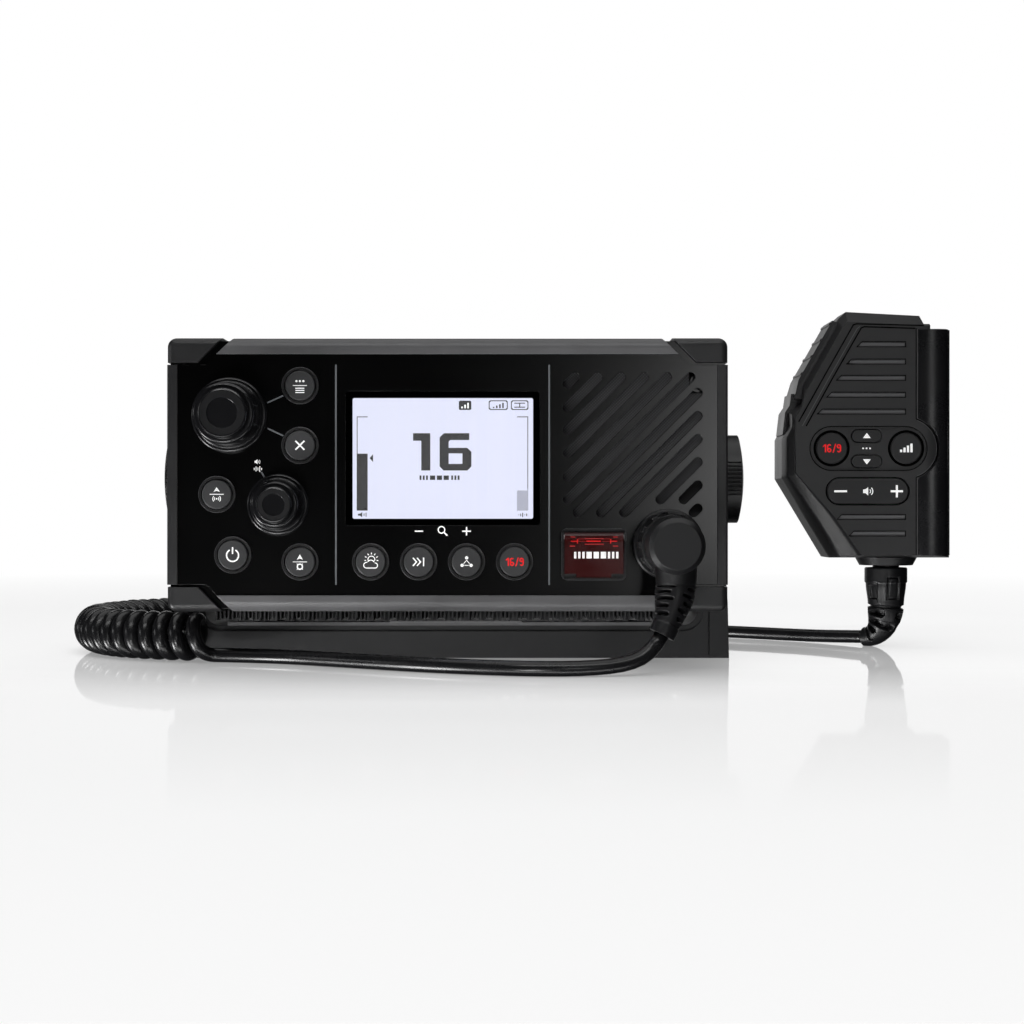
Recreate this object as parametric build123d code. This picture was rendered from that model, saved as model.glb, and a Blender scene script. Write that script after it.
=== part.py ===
from build123d import *
import os
from math import hypot, pi, radians, tan

# Fixed-mount VHF marine radio on its gimbal bracket, with a hand microphone on a curly cord.
# Millimetres. X to the right, Y away from the reader, +Z up. The origin is the centre of the
# bracket's four mounting screws, on its underside. The radio tilts about X at height pivot_z.
# The front of the radio faces -Y. Places on the front are (x, z) from the centre of the panel.

# --- overall -----------------------------------------------------------------------------
panel_w = 187.0        # over the side strips
panel_h = 91.3         # over the rails
pivot_z = 64.0         # tilt axis above the mounting surface
base_w = 196.4         # over the bracket's arms
base_d = 82.0
base_h = 11.6

# --- fits --------------------------------------------------------------------------------
fit = 0.05             # close fits, pressed or running
gap = 0.3              # between moving pieces

# --- front: trim -------------------------------------------------------------------------
front_y = -76.0        # the glossy plane
bezel_d = 14.0         # from the glossy plane back to the gasket
rail_h = 5.45
strip_w = 3.5
cap_h = 8.2            # corner cap, down the side
cap_len = 18.5         # corner cap, along the top
groove_w = 3.5         # slanted groove between a cap and a rail
seam = 0.8             # shadow line under a cap
trim_proud = 0.8       # rails and caps stand in front of the glossy plane
groove_deep = 1.0
corner_r = 3.0
rail_round = 3.6
plate_t = 2.2          # glossy front plate
wall_t = 2.2           # housing wall behind it

# --- keys --------------------------------------------------------------------------------
key_r = 5.0
key_proud = 0.9
key_travel = 1.2
collar_r = 6.2         # soft ring round each key
collar_proud = 0.5
flange_t = 0.8
mat_t = 1.0
key_pitch = 15.97      # along the bottom row
stem_r = 2.2           # contact behind each key

# --- rotary knobs ------------------------------------------------------------------------
channel_r = 12.6       # skirt
channel_face_r = 8.4   # front rim
channel_h = 17.0       # above the glossy plane
volume_right = 16.2    # of the channel knob
volume_r = 10.3
volume_face_r = 6.2
volume_h = 13.0
knob_lift = 1.3        # skirt above the glossy plane
push_travel = 0.8
spindle_r = 3.0
bushing_r = 4.4
encoder_side = 12.0
encoder_d = 4.5
plunger_t = 0.9
plunger_r = 3.65

# --- display -----------------------------------------------------------------------------
display_w, display_h = 60.3, 40.3
window_lap = 2.2       # clear window, each side of the opening
window_t = 1.2
lcd_past_line = 0.35   # the display module behind the panel, past the left dividing line
lcd_to_row = 2.35      # and from the bottom row's keys
board_y = -68.6        # front face of the front circuit board
board_t = 1.6
board_left = 0.7       # past the centre of the leftmost key
board_right = 2.1      # past the right dividing line
board_in = 2.0         # from the housing's walls
board_post_r = 1.8
board_post_x = (10.5, 4.5)  # right of the channel knob's axis, and in from the board's right edge
side_board_past = 2.5  # past the distress key

# --- spaces between the pieces of the front ----------------------------------------------
# across and upwards they share out, in these proportions, what the panel's size leaves free
edge_to_knob = 4.9     # left column, from the side strip
edge_to_ais = 7.0
edge_to_power = 12.3
knob_to_key = 4.6
key_to_line = 5.7      # the lines part the front into three columns
line_to_display = 5.45
display_to_line = 5.35
line_to_surround = 4.0
surround_to_socket = 2.3
socket_to_edge = 4.6
line_to_grille = 4.6
grille_to_edge = 5.0
rail_to_row = 5.0      # upwards from the lower rail
row_to_volume = 2.5
volume_to_key = 3.3
key_to_key = 7.5
key_to_rail = 4.3
row_to_display = 8.15
ais_up = 3.5           # above the volume knob's centre
power_up = 2.3         # above the bottom row
rail_to_surround = 5.0
surround_to_grille = 3.6
grille_to_rail = 6.0
rail_to_socket = 5.2
socket_to_slot = 1.6

# --- loudspeaker -------------------------------------------------------------------------
first_slot = 5.5       # from the grille's corner to the first slot, both ways added
slot_step = 7.71
slot_w = 3.2
slot_short_from = 9    # the last slots but one stop higher, above the plug
cloth_t = 0.6
cloth_lap = 2.0
speaker_r = 22.5
magnet_r = 13.0
speaker_d = 19.0

# --- distress key ------------------------------------------------------------------------
surround_w, surround_h = 21.6, 17.4
surround_t = 1.2
cover_w, cover_h = 19.5, 13.7
cover_t = 1.2
cover_lift = 0.9       # cover above the surround's floor
cover_floor = 0.5
cover_top_gap = 1.4
hinge_r = 0.75
barrel_r = 1.5
well_w, well_h = 16.0, 9.4
distress_travel = 1.2
distress_flange_t = 1.6
distress_flange_lap = 1.2
tab_w, tab_h = 11.6, 1.2

# --- microphone socket and plug ----------------------------------------------------------
socket_r = 11.8
socket_proud = 1.6
socket_body_r = 9.3
socket_depth = 6.0
spigot_r = 7.9
ring_r = 10.7
ring_len = 9.9
ring_grips = 12
head_r = 9.0
head_face_r = 7.5
head_len = 20.9
barrel_in = 11.0       # the barrel's axis behind the head's face
barrel_right = 0.5
barrel_drop = 12.5     # below the socket's axis
barrel_top_r = 7.0
barrel_low_r = 6.5
boot_end = (68.2, -103.0, 13.1)
boot_end_r = 3.5

# --- rear chassis ------------------------------------------------------------------------
side_gap = 7.0         # from the chassis to an arm of the bracket
chassis_over = 1.8     # taller than the front's plate, each way
chassis_back = 74.0
chassis_wall = 3.0
slope_from = 30.0      # the floor rises behind this, so the set can tilt
slope_rise = 10.0
chassis_flange = 3.0
gasket_t = 1.0
rib_pitch = 5.5        # cooling ribs under the chassis
rib_in = 6.5
rib_t = 2.2
rib_clear = 2.6        # from the bracket's base to the ribs
rib_back = 8.0
rear_fin_t = 2.4
rear_fin_pitch = 8.0
rear_fin_in = 12.0
rear_fin_d = 6.0
rear_fin_h = 24.0
rear_fin_drop = 4.0    # their tops below the tilt axis
screw_in = 5.8
screw_up = 9.4
screw_r = 1.5
screw_head_r = 2.9
screw_head_t = 2.0
screw_pad = 1.5        # flange round a screw's head
screw_len = 8.0
post_r = 3.2

# --- circuit board in the chassis --------------------------------------------------------
main_board_in = 9.0    # from the chassis walls
main_board_y = (-48.0, 32.0)
main_board_lift = 10.0
main_post_r = 3.0
main_post_in = 8.0
shield_x, shield_y, shield_h = (-50.0, 10.0), (-40.0, 20.0), 9.0
heatsink_x, heatsink_y, heatsink_h = (22.0, 60.0), (-34.0, 18.0), 14.0

# --- rear connectors ---------------------------------------------------------------------
connector_up = 16.0    # above the tilt axis
antenna_x = (-52.0, -24.0)
antenna_r = 7.94       # 5/8 inch thread
antenna_len = 15.0
antenna_flange = 25.0
antenna_hole_r, antenna_hole_depth = 2.0, 10.0
data_x = (8.0, 30.0)
data_r = 6.0           # M12 thread
data_len = 10.0
power_x = 56.0
power_r = 8.0
power_len = 12.0
collar_t = 2.0
thread_collar = 1.5
recess_wall = 1.6
recess_depth = 3.5

# --- gimbal bracket ----------------------------------------------------------------------
arm_t = 11.2
arm_draft = 1.9        # the arm is this much thinner at its top
arm_top_r = 19.0
arm_shoulder = 20.0    # full depth up to here
inner_r = 5.0
rebate_w, rebate_d = 2.0, 0.6
seam_in = 4.0          # shallow line down the front of each arm
line_w = 0.5
screw_grid = (128.0, 40.0)
base_screw_r = 2.6
sink_r = 7.35
sink_d = 4.0
pad_r = 17.5           # round pad on the arm under the knob
pad_in = 0.2
stud_r = 3.0
stud_in = 10.0         # its end inside the chassis wall
boss_t = 4.0
arm_hole_r = 3.4
trunnion_r = 17.0
washer_t = 0.8
washer_gap = 0.2
clamp_washer_r = 15.0
clamp_washer_t = 0.8
clamp_gap = 0.1
knob_r = 16.5
knob_h = 7.1
knob_dome = 2.1
knob_grip_ribs = 9
knob_grip_span = 41.0  # degrees that each ribbed patch covers
grip_w, grip_deep = 0.6, 0.5

# --- hand microphone ---------------------------------------------------------------------
hand_at = (164.9, 11.5, 34.35)   # cord axis, middle of its thickness, bottom edge
hand_t = 34.0
hand_bevel = 8.5
hand_wall = 2.8
hand_round = 11.0
hand_outline = [
    (-17.0, 93.0), (13.3, 91.4), (22.4, 90.9), (22.4, 0.0), (-23.4, 0.0), (-41.4, 30.0),
    (-41.4, 45.0), (-38.9, 49.6), (-38.9, 54.9), (-33.9, 58.5), (-33.7, 66.2), (-20.0, 90.2),
]
hand_face = [
    (-17.9, 88.5), (8.0, 87.2), (19.0, 86.6), (19.0, 1.0), (-14.3, 1.0), (-38.5, 31.4),
    (-38.5, 44.3), (-38.1, 48.6), (-37.8, 51.9), (-35.4, 56.2), (-33.3, 62.6), (-20.0, 86.2),
]
hand_steps = [(10.8, 87.7), (13.0, 85.3)]   # the top falls in steps to the right
hand_slots = [                             # shallow slots in the face: left end and height
    (-14.3, 80.0), (-18.2, 73.5), (-22.0, 67.4), (-25.6, 61.1), (-29.1, 54.8), (-21.8, 15.4),
    (-17.3, 9.2),
]
hand_slot_right = 3.7
hand_slot_h, hand_slot_deep = 1.8, 0.6
hand_cavity = [
    (-17.3, 80.3), (7.1, 80.3), (11.4, 76.5), (11.4, 6.3), (-20.2, 6.3), (-34.8, 30.6),
    (-34.8, 43.3), (-31.9, 51.1), (-20.2, 75.5),
]
hand_board = [
    (-33.8, 31.6), (-33.8, 43.3), (-30.9, 50.1), (-29.0, 55.5), (11.0, 55.5), (11.0, 13.1),
    (-23.2, 13.1),
]
hand_posts = [(-29.0, 52.6), (8.0, 52.6), (-20.2, 16.0), (8.0, 16.0)]
hand_post_r = 1.6
capsule_at = (-6.6, 66.2)
capsule_r, capsule_d = 11.0, 6.0
recess_x = (-32.0, 11.8)
recess_z = (32.8, 49.2)
recess_deep = 1.2
hand_key_r = 5.9
hand_key_z = 41.1
hand_key_16_x = -23.7
hand_key_power_x = 4.2
hand_key_flange = 0.9
pill_x = -10.6
pill_w, pill_h = 11.1, 4.4
pill_flange = 0.75
pill_up_z, pill_down_z = 45.7, 36.2
hand_key_proud = 0.5
hand_travel = 0.8
hand_stem_r = 1.5
hand_board_y = 5.9     # front face of its circuit board, behind the front face
rocker_at = (-10.4, 25.0)
rocker_w, rocker_h = 30.5, 9.6
rocker_proud = 0.3
rocker_pin_r = 1.2
rocker_lug = (5.0, 2.0)
rocker_web = (2.0, 6.0)
talk_w = 22.0          # push-to-talk bar
talk_travel = 1.5
talk_proud = 1.7
talk_deep = 2.4
talk_edge = 1.3        # chamfer along its outer edges
talk_len = 26.0
talk_low = [(-37.0, 59.8), (-33.5, 59.8)]
talk_floor = [(-60.0, 58.6), (-32.0, 58.6)]
talk_post_r = 1.5
talk_post_len = 4.6
talk_post_at = 6.0     # each side of the middle plane
hanger_at = (-5.0, 55.0)
hanger_flange_r, hanger_flange_t = 9.5, 0.8
hanger_stem_r = 4.0
hanger_stem_len = 3.0
hanger_head_r = 8.0
hanger_head_t = 2.5
hanger_round = 1.2
flange_top_r, flange_low_r, flange_h = 11.7, 10.0, 3.1
boot_core_r, boot_core_h, boot_core_room = 5.0, 5.5, 7.0
sleeve_r, sleeve_z = 8.05, (-9.4, -3.9)
sleeve_step = 0.4
sleeve_low_r, sleeve_low_z = 7.2, -17.0
hand_boot_end = (158.0, 17.2, 3.4)
hand_boot_end_r = 3.3

# --- cord --------------------------------------------------------------------------------
cord_r = 2.5
coil_r = 8.75
front_route = [
    boot_end, (63.0, -107.0, 7.6), (55.0, -112.0, 3.9), (45.0, -115.6, 2.6), (29.0, -116.5, 2.5),
    (11.0, -108.8, 2.5), (-7.0, -98.5, 2.5), (-22.5, -87.3, 2.5), (-38.0, -76.8, 2.5),
    (-52.0, -67.7, 2.5), (-65.0, -62.2, 2.5), (-78.5, -58.5, 2.5),
]
coil_route = [
    (-78.5, -58.5), (-88.0, -55.9), (-98.8, -51.9), (-110.5, -45.5), (-121.0, -36.0),
    (-129.0, -22.5), (-133.5, -6.0), (-133.0, 11.0), (-127.0, 27.5), (-117.0, 42.5),
    (-104.0, 56.0), (-88.5, 68.0), (-70.5, 78.0), (-49.5, 85.0), (-26.0, 88.7), (0.0, 89.5),
    (18.0, 88.6),
]
rear_route = [
    (18.0, 88.6, 2.5), (36.0, 87.7, 2.5), (54.0, 84.2, 2.5), (72.0, 78.5, 2.5), (89.0, 71.2, 2.5),
    (104.5, 62.4, 2.5), (119.0, 52.0, 2.5), (132.5, 40.6, 2.5), (145.5, 29.0, 2.7), hand_boot_end,
]

# --- worked out: the front's columns and rows --------------------------------------------
half_w = panel_w / 2 - strip_w
half_h = panel_h / 2 - rail_h
spaces_across = (edge_to_knob + knob_to_key + key_to_line + line_to_display + display_to_line
                 + line_to_surround + surround_to_socket + socket_to_edge)
spaces_up = rail_to_row + row_to_volume + volume_to_key + key_to_key + key_to_rail
wide = (2 * (half_w - channel_r - collar_r - socket_r) - display_w - surround_w) / spaces_across
tall = 2 * (half_h - 3 * collar_r - volume_r) / spaces_up
channel_x = wide * edge_to_knob + channel_r - half_w
key_x = channel_x + channel_r + wide * knob_to_key + collar_r
line_left = key_x + collar_r + wide * key_to_line
display_x = line_left + wide * line_to_display + display_w / 2
line_right = display_x + display_w / 2 + wide * display_to_line
distress_x = line_right + wide * line_to_surround + surround_w / 2
socket_x = distress_x + surround_w / 2 + wide * surround_to_socket + socket_r
row_z = tall * rail_to_row + collar_r - half_h
volume_z = row_z + collar_r + tall * row_to_volume + volume_r
cancel_z = volume_z + volume_r + tall * volume_to_key + collar_r
menu_z = cancel_z + 2 * collar_r + tall * key_to_key
channel_at = (channel_x, (cancel_z + menu_z) / 2)
volume_at = (channel_x + volume_right, volume_z)
display_at = (display_x, row_z + collar_r + tall * row_to_display + display_h / 2)
row_x = [display_x + (i - 1.5) * key_pitch for i in range(4)]
keys = {
    "key_menu": (key_x, menu_z),
    "key_cancel": (key_x, cancel_z),
    "key_ais": (edge_to_ais + collar_r - half_w, volume_z + ais_up),
    "key_power": (edge_to_power + collar_r - half_w, row_z + power_up),
    "key_nav": (key_x, row_z),
    "key_weather": (row_x[0], row_z),
    "key_scan": (row_x[1], row_z),
    "key_tri": (row_x[2], row_z),
    "key_channel16": (row_x[3], row_z),
}
distress_at = (distress_x, tall * rail_to_surround + surround_h / 2 - half_h)
socket_at = (socket_x, tall * rail_to_socket + socket_r - half_h)
grille_x = (line_right + wide * line_to_grille, half_w - wide * grille_to_edge)
grille_z = (distress_at[1] + surround_h / 2 + tall * surround_to_grille, half_h - tall * grille_to_rail)
speaker_at = (sum(grille_x) / 2, sum(grille_z) / 2)
slot_short_z = socket_at[1] + socket_r + tall * socket_to_slot
slot_first = grille_x[0] - grille_z[1] + first_slot
slot_room = grille_x[1] - grille_z[0] - slot_w - slot_first
slot_count = 1 + int(slot_room / slot_step)
lcd_w = display_w + 2 * (wide * line_to_display + lcd_past_line)
lcd_h = display_h + 2 * (tall * row_to_display - lcd_to_row)
board_x = (keys["key_ais"][0] - board_left, line_right + board_right)
board_half_z = half_h - wall_t - board_in

# --- worked out: depths and heights ------------------------------------------------------
plate_back = front_y + plate_t
housing_back = front_y + bezel_d
flange_front = housing_back + gasket_t
flange_back = flange_front + chassis_flange
cap_low = panel_h / 2 - cap_h
notch_z = cap_low - seam
mat_back = plate_back + mat_t
lip_y = front_y - socket_proud
ring_y = (lip_y - gap - ring_len, lip_y - gap)
head_y = (ring_y[0] - gap - head_len, ring_y[0] - gap)
barrel_at = (socket_at[0] + barrel_right, head_y[0] + barrel_in)
screw_at = (half_w - screw_in, half_h - screw_up)
arm_inner = base_w / 2 - arm_t
chassis_half_w = arm_inner - side_gap
chassis_low = pivot_z - half_h - chassis_over
chassis_high = pivot_z + half_h + chassis_over
rib_low = base_h + rib_clear
barrel_low_z = pivot_z + socket_at[1] - barrel_drop
connector_z = pivot_z + connector_up
main_board_z = chassis_low + chassis_wall + main_board_lift
trunnion_x = arm_inner - washer_t - washer_gap
pad_x = base_w / 2 - pad_in
stud_end_x = chassis_half_w - stud_in
arm_end_z = pivot_z + arm_top_r
distress_back = plate_back + gap + distress_flange_t
parts = {}


# --- helpers -----------------------------------------------------------------------------
def block(x, y, z):
    size = (x[1] - x[0], y[1] - y[0], z[1] - z[0])
    return Pos(sum(x) / 2, sum(y) / 2, sum(z) / 2) * Box(*size)


def bar_x(y, z, r, x):
    return Pos(sum(x) / 2, y, z) * Rot(0, 90, 0) * Cylinder(r, x[1] - x[0])


def bar_y(x, z, r, y):
    return Pos(x, sum(y) / 2, z) * Rot(90, 0, 0) * Cylinder(r, y[1] - y[0])


def bar_z(x, y, r, z):
    return Pos(x, y, sum(z) / 2) * Cylinder(r, z[1] - z[0])


def plane_y(y):
    return Plane(origin=(0, y, 0), x_dir=(1, 0, 0), z_dir=(0, -1, 0))


def prism_y(points, y):
    """The (x, z) outline between two values of y."""
    return extrude(plane_y(y[1]) * make_face(Polyline(*points, close=True)), amount=y[1] - y[0])


def prism_x(points, x):
    """The (y, z) outline between two values of x."""
    plane = Plane(origin=(x[0], 0, 0), x_dir=(0, 1, 0), z_dir=(1, 0, 0))
    return extrude(plane * make_face(Polyline(*points, close=True)), amount=x[1] - x[0])


def turned_y(profile, x, z):
    """Turned about an axis along Y; the profile is (radius, y)."""
    return Pos(x, 0, z) * revolve(make_face(Polyline(*profile, close=True)), axis=Axis.Y)


def on_panel(at):
    return at[0], at[1] + pivot_z


def slot_y(at, long, tall, y):
    """A slot with round ends, long along X, between two values of y."""
    sketch = plane_y(y[1]) * (Pos(at[0], at[1]) * SlotOverall(long, tall))
    return extrude(sketch, amount=y[1] - y[0])


def rounded_y(at, w, h, r, y):
    sketch = plane_y(y[1]) * (Pos(at[0], at[1]) * RectangleRounded(w, h, r))
    return extrude(sketch, amount=y[1] - y[0])


def four_ways(points):
    """An outline's upper right quarter, from the X axis to the Z axis, completed by mirroring."""
    left = [(-x, z) for x, z in reversed(points)]
    low_left = [(-x, -z) for x, z in points]
    low_right = [(x, -z) for x, z in reversed(points)]
    whole = []
    for x, z in points + left + low_left + low_right:
        if not whole or hypot(x - whole[-1][0], z - whole[-1][1]) > 1e-6:
            whole.append((x, z))
    return whole


def lifted(points):
    return [(x, z + pivot_z) for x, z in points]


def mirrored(shape):
    """The shape with its mirror images in both planes through the panel's centre."""
    both = shape + mirror(shape, about=Plane.YZ)
    middle = Plane(origin=(0, 0, pivot_z), z_dir=(0, 0, 1))
    return both + mirror(both, about=middle)


def tube(name, route, r):
    """A round tube on straight runs joined by arcs as large as the runs allow."""
    points = [Vector(*p) for p in route]
    radii = []
    for a, b, c in zip(points, points[1:], points[2:]):
        turn = radians((b - a).get_angle(c - b))
        radii.append(0.45 * min((b - a).length, (c - b).length) / tan(turn / 2))
    path = FilletPolyline(*points, radius=radii)
    start = Plane(origin=path @ 0, z_dir=path % 0)
    solid = sweep(start * Circle(r), path=path)
    print(name, "radii", [round(v) for v in radii], "length", round(path.length))
    print(name, "volume over section times length", round(solid.volume / (pi * r * r * path.length), 4))
    return solid


def tapered(start, start_dir, end, end_dir, r0, r1, steps=5):
    """A round body whose middle line leaves start along start_dir and reaches end along end_dir."""
    a, d = Vector(*start), Vector(*end)
    reach = (d - a).length / 3
    b, c = a + Vector(*start_dir).normalized() * reach, d - Vector(*end_dir).normalized() * reach
    rings = []
    for i in range(steps):
        t = i / (steps - 1)
        at = a * (1 - t) ** 3 + b * (3 * t * (1 - t) ** 2) + c * (3 * t * t * (1 - t)) + d * t**3
        way = (b - a) * (1 - t) ** 2 + (c - b) * (2 * t * (1 - t)) + (d - c) * t * t
        plane = Plane(origin=at, x_dir=(0, 1, 0), z_dir=way)
        rings.append(plane * Circle(r0 + (r1 - r0) * t))
    return loft(rings)


# --- front housing and its trim ----------------------------------------------------------
def housing_outline(inset=0.0):
    w, h, n = half_w - inset, half_h - inset, notch_z - inset
    cut = panel_w / 2 - cap_len - groove_w + panel_h / 2 - inset * 2**0.5
    return lifted(four_ways([(w, 0), (w, n), (cut - n, n), (cut - h, h), (0, h)]))


def cap_outline():
    """One corner cap, seen from the front: the upper right one."""
    right, top = panel_w / 2, panel_h / 2
    start = right - cap_len
    return lifted([(start + cap_h, cap_low), (right, cap_low), (right, top), (start, top)])


def groove_outline():
    """What carries a cap: the floor of the slanted groove and of the seam below the cap."""
    right, top = panel_w / 2 - groove_deep, panel_h / 2 - groove_deep
    start = panel_w / 2 - cap_len
    rail_end = start - groove_w
    return lifted([
        (rail_end + rail_h, half_h), (rail_end + panel_h / 2 - notch_z, notch_z), (right, notch_z),
        (right, cap_low), (start + cap_h, cap_low), (start + groove_deep, top),
        (rail_end + groove_deep, top),
    ])


def grille_slots():
    """Slanted slots through the plate, all at 45 degrees."""
    r = slot_w / 2
    cuts = []
    for i in range(slot_count):
        shift = slot_first + slot_step * i
        floor_z = slot_short_z if i >= slot_short_from else grille_z[0]
        floor_z = grille_z[0] if i == slot_count - 1 else floor_z
        x0 = max(grille_x[0] + r, floor_z + r + shift)
        x1 = min(grille_x[1] - r, grille_z[1] - r + shift)
        at = ((x0 + x1) / 2, (x0 + x1) / 2 - shift + pivot_z)
        long = 2**0.5 * (x1 - x0)
        shape = SlotOverall(long + slot_w, slot_w) if long > gap else Circle(r)
        sketch = plane_y(plate_back + 1) * (Pos(*at) * Rot(0, 0, 45) * shape)
        cuts.append(extrude(sketch, amount=plate_t + 2))
    return cuts


def screw_places():
    """The four screws that join the front to the chassis."""
    x, z = screw_at
    return [on_panel(at) for at in ((x, z), (-x, z), (-x, -z), (x, -z))]


def board_posts():
    """Where the front circuit board rests, on posts behind the plate."""
    left, right = channel_x + board_post_x[0], board_x[1] - board_post_x[1]
    z = board_half_z - board_post_r
    return [(left, z), (left, -z), (right, z), (right, -z)]


def make_front():
    outer = prism_y(housing_outline(), (front_y, housing_back))
    inner = prism_y(housing_outline(wall_t), (plate_back, housing_back + 1))
    body = outer - inner
    body += mirrored(prism_y(groove_outline(), (front_y + groove_deep, housing_back)))
    for x, z in screw_places():
        body += bar_y(x, z, post_r, (plate_back, flange_front))
        body -= bar_y(x, z, screw_r + fit, (plate_back + 2, flange_front + 1))
    for at in board_posts():
        body += bar_y(*on_panel(at), board_post_r, (plate_back, board_y))
    for at in keys.values():
        body -= bar_y(*on_panel(at), collar_r + fit, (front_y - 1, plate_back + 1))
    for at in (channel_at, volume_at):
        body -= bar_y(*on_panel(at), bushing_r + fit, (front_y - 1, plate_back + 1))
    through = (front_y - 1, plate_back + 1)
    at = on_panel(display_at)
    body -= rounded_y(at, display_w, display_h, 0.6, through)
    window = (display_w + 2 * window_lap, display_h + 2 * window_lap)
    body -= rounded_y(at, *window, 1.0, (front_y - 1, front_y + window_t))
    body -= rounded_y(on_panel(distress_at), well_w, well_h, 1.0, through)
    body -= bar_y(*on_panel(socket_at), socket_body_r + fit, through)
    for cut in grille_slots():
        body -= cut
    parts["front_panel"] = body
    parts["display_window"] = rounded_y(at, *window, 1.0, (front_y, front_y + window_t))
    parts["lcd_module"] = rounded_y(at, lcd_w, lcd_h, 1.0, (plate_back, board_y))


def make_trim():
    """Rails, side strips and corner caps, which stand a little in front of the glossy plane."""
    top = panel_h / 2
    y = (front_y - trim_proud, housing_back)
    end = panel_w / 2 - cap_len - groove_w
    rail = prism_y(lifted([(-end, top), (end, top), (end + rail_h, half_h), (-end - rail_h, half_h)]), y)
    edge = [e for e in rail.edges() if e.center().Y < y[0] + 0.1 and e.center().Z > pivot_z + top - 0.1]
    rail = fillet(edge, rail_round)
    middle = Plane(origin=(0, 0, pivot_z), z_dir=(0, 0, 1))
    parts["bezel_rails"] = rail + mirror(rail, about=middle)

    cap = prism_y(cap_outline(), y)
    corner = [e for e in cap.edges()
              if e.center().X > panel_w / 2 - 0.1 and e.center().Z > pivot_z + top - 0.1]
    cap = fillet(corner, corner_r)
    front = [e for e in cap.edges()
             if e.center().Y < y[0] + 0.1 and (e.center().Z > pivot_z + top - corner_r
                                               or e.center().X > panel_w / 2 - 0.5)]
    cap = fillet(front, corner_r * 0.8)
    parts["bezel_corner_caps"] = mirrored(cap)

    strip = block((half_w, panel_w / 2), (front_y - trim_proud / 2, housing_back),
                  (pivot_z - notch_z, pivot_z + notch_z))
    front = [e for e in strip.edges()
             if e.center().Y < y[0] + 1 and e.center().X > panel_w / 2 - 0.1]
    strip = fillet(front, 0.8)
    parts["bezel_side_strips"] = strip + mirror(strip, about=Plane.YZ)


# --- keys and what is behind them --------------------------------------------------------
def make_keys():
    low = wall_t + gap - half_h
    left = screw_at[0] - post_r - 2 * gap
    row_top = row_z + collar_r + 2 * gap
    screen_left = display_x - lcd_w / 2 - gap
    mat = block((-left, screen_left), (plate_back, mat_back), (pivot_z + low, pivot_z - low))
    mat += block((screen_left, row_x[-1] + collar_r + 4 * gap), (plate_back, mat_back),
                 (pivot_z + low, pivot_z + row_top))
    for at in (keys["key_ais"], keys["key_power"]):
        mat += bar_y(*on_panel(at), collar_r + 2 * gap, (plate_back, mat_back))
    mat = mat & prism_y(housing_outline(wall_t + gap), (plate_back, mat_back))
    for at in (channel_at, volume_at):
        mat -= rounded_y(on_panel(at), encoder_side + 1.2, encoder_side + 1.2, 1.0,
                         (plate_back - 1, mat_back + 1))
    for at in board_posts():
        mat -= bar_y(*on_panel(at), board_post_r + gap, (plate_back - 1, mat_back + 1))
    for name, at in keys.items():
        x, z = on_panel(at)
        mat += bar_y(x, z, collar_r, (front_y - collar_proud, mat_back))
        mat -= bar_y(x, z, key_r + gap, (front_y - collar_proud - 1, mat_back + 1))
        cap = bar_y(x, z, key_r, (front_y - key_proud, mat_back + gap + flange_t))
        cap = chamfer([e for e in cap.edges() if e.center().Y < front_y - key_proud + 0.1], 0.35)
        cap += bar_y(x, z, collar_r - gap, (mat_back + gap, mat_back + gap + flange_t))
        parts[name] = cap
    parts["keypad_mat"] = mat

    thick = (board_y, board_y + board_t)
    low = pivot_z - board_half_z
    board = block(board_x, thick, (low, pivot_z + board_half_z))
    side = (board_x[1], distress_x + surround_w / 2 + side_board_past)
    board += block(side, thick, (low, pivot_z + distress_at[1] + surround_h / 2 + gap))
    key_back = mat_back + 2 * gap + flange_t + key_travel
    for at in keys.values():
        board += bar_y(*on_panel(at), stem_r, (key_back, board_y))
    board += bar_y(*on_panel(distress_at), stem_r, (distress_back + gap + distress_travel, board_y))
    parts["front_board"] = board


def make_knob(name, at, r, face_r, tall):
    """A push-and-turn knob with its spindle, the encoder that holds it and the push plunger."""
    x, z = on_panel(at)
    skirt = front_y - knob_lift
    face = front_y - tall
    body_r = r - 1.2
    profile = [
        (0, skirt - 3.6), (bushing_r + 1.2, skirt - 3.6), (bushing_r + 1.2, skirt), (r - 0.5, skirt),
        (r, skirt - 0.5), (r, skirt - 1.6), (r - 0.6, skirt - 2.2), (body_r - 0.4, skirt - 2.4),
        (body_r, skirt - 3.4), (body_r - 0.9, skirt - 0.42 * tall), (face_r + 1.0, skirt - 0.62 * tall),
        (face_r + 0.3, face + 1.4), (face_r, face + 0.4), (face_r - 0.35, face), (face_r - 0.9, face),
        (face_r - 1.2, face + 0.9), (face_r * 0.6, face + 0.9), (face_r * 0.58, face + 0.6), (0, face + 0.6),
    ]
    knob = turned_y(profile, x, z)
    encoder_front = board_y - encoder_d
    plunger_front = board_y - 0.1 - push_travel - plunger_t
    knob += bar_y(x, z, spindle_r, (skirt - 4.0, plunger_front))
    parts[name + "_knob"] = knob
    side = encoder_side / 2
    body = block((x - side, x + side), (encoder_front, board_y), (z - side, z + side))
    body += bar_y(x, z, bushing_r, (front_y - knob_lift - 1.6, encoder_front))
    body -= bar_y(x, z, spindle_r + fit, (front_y - 20, board_y))
    body -= bar_y(x, z, plunger_r + fit, (plunger_front - 0.2, board_y + 1))
    parts[name + "_encoder"] = body
    parts[name + "_plunger"] = bar_y(x, z, plunger_r, (plunger_front, plunger_front + plunger_t))


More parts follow.
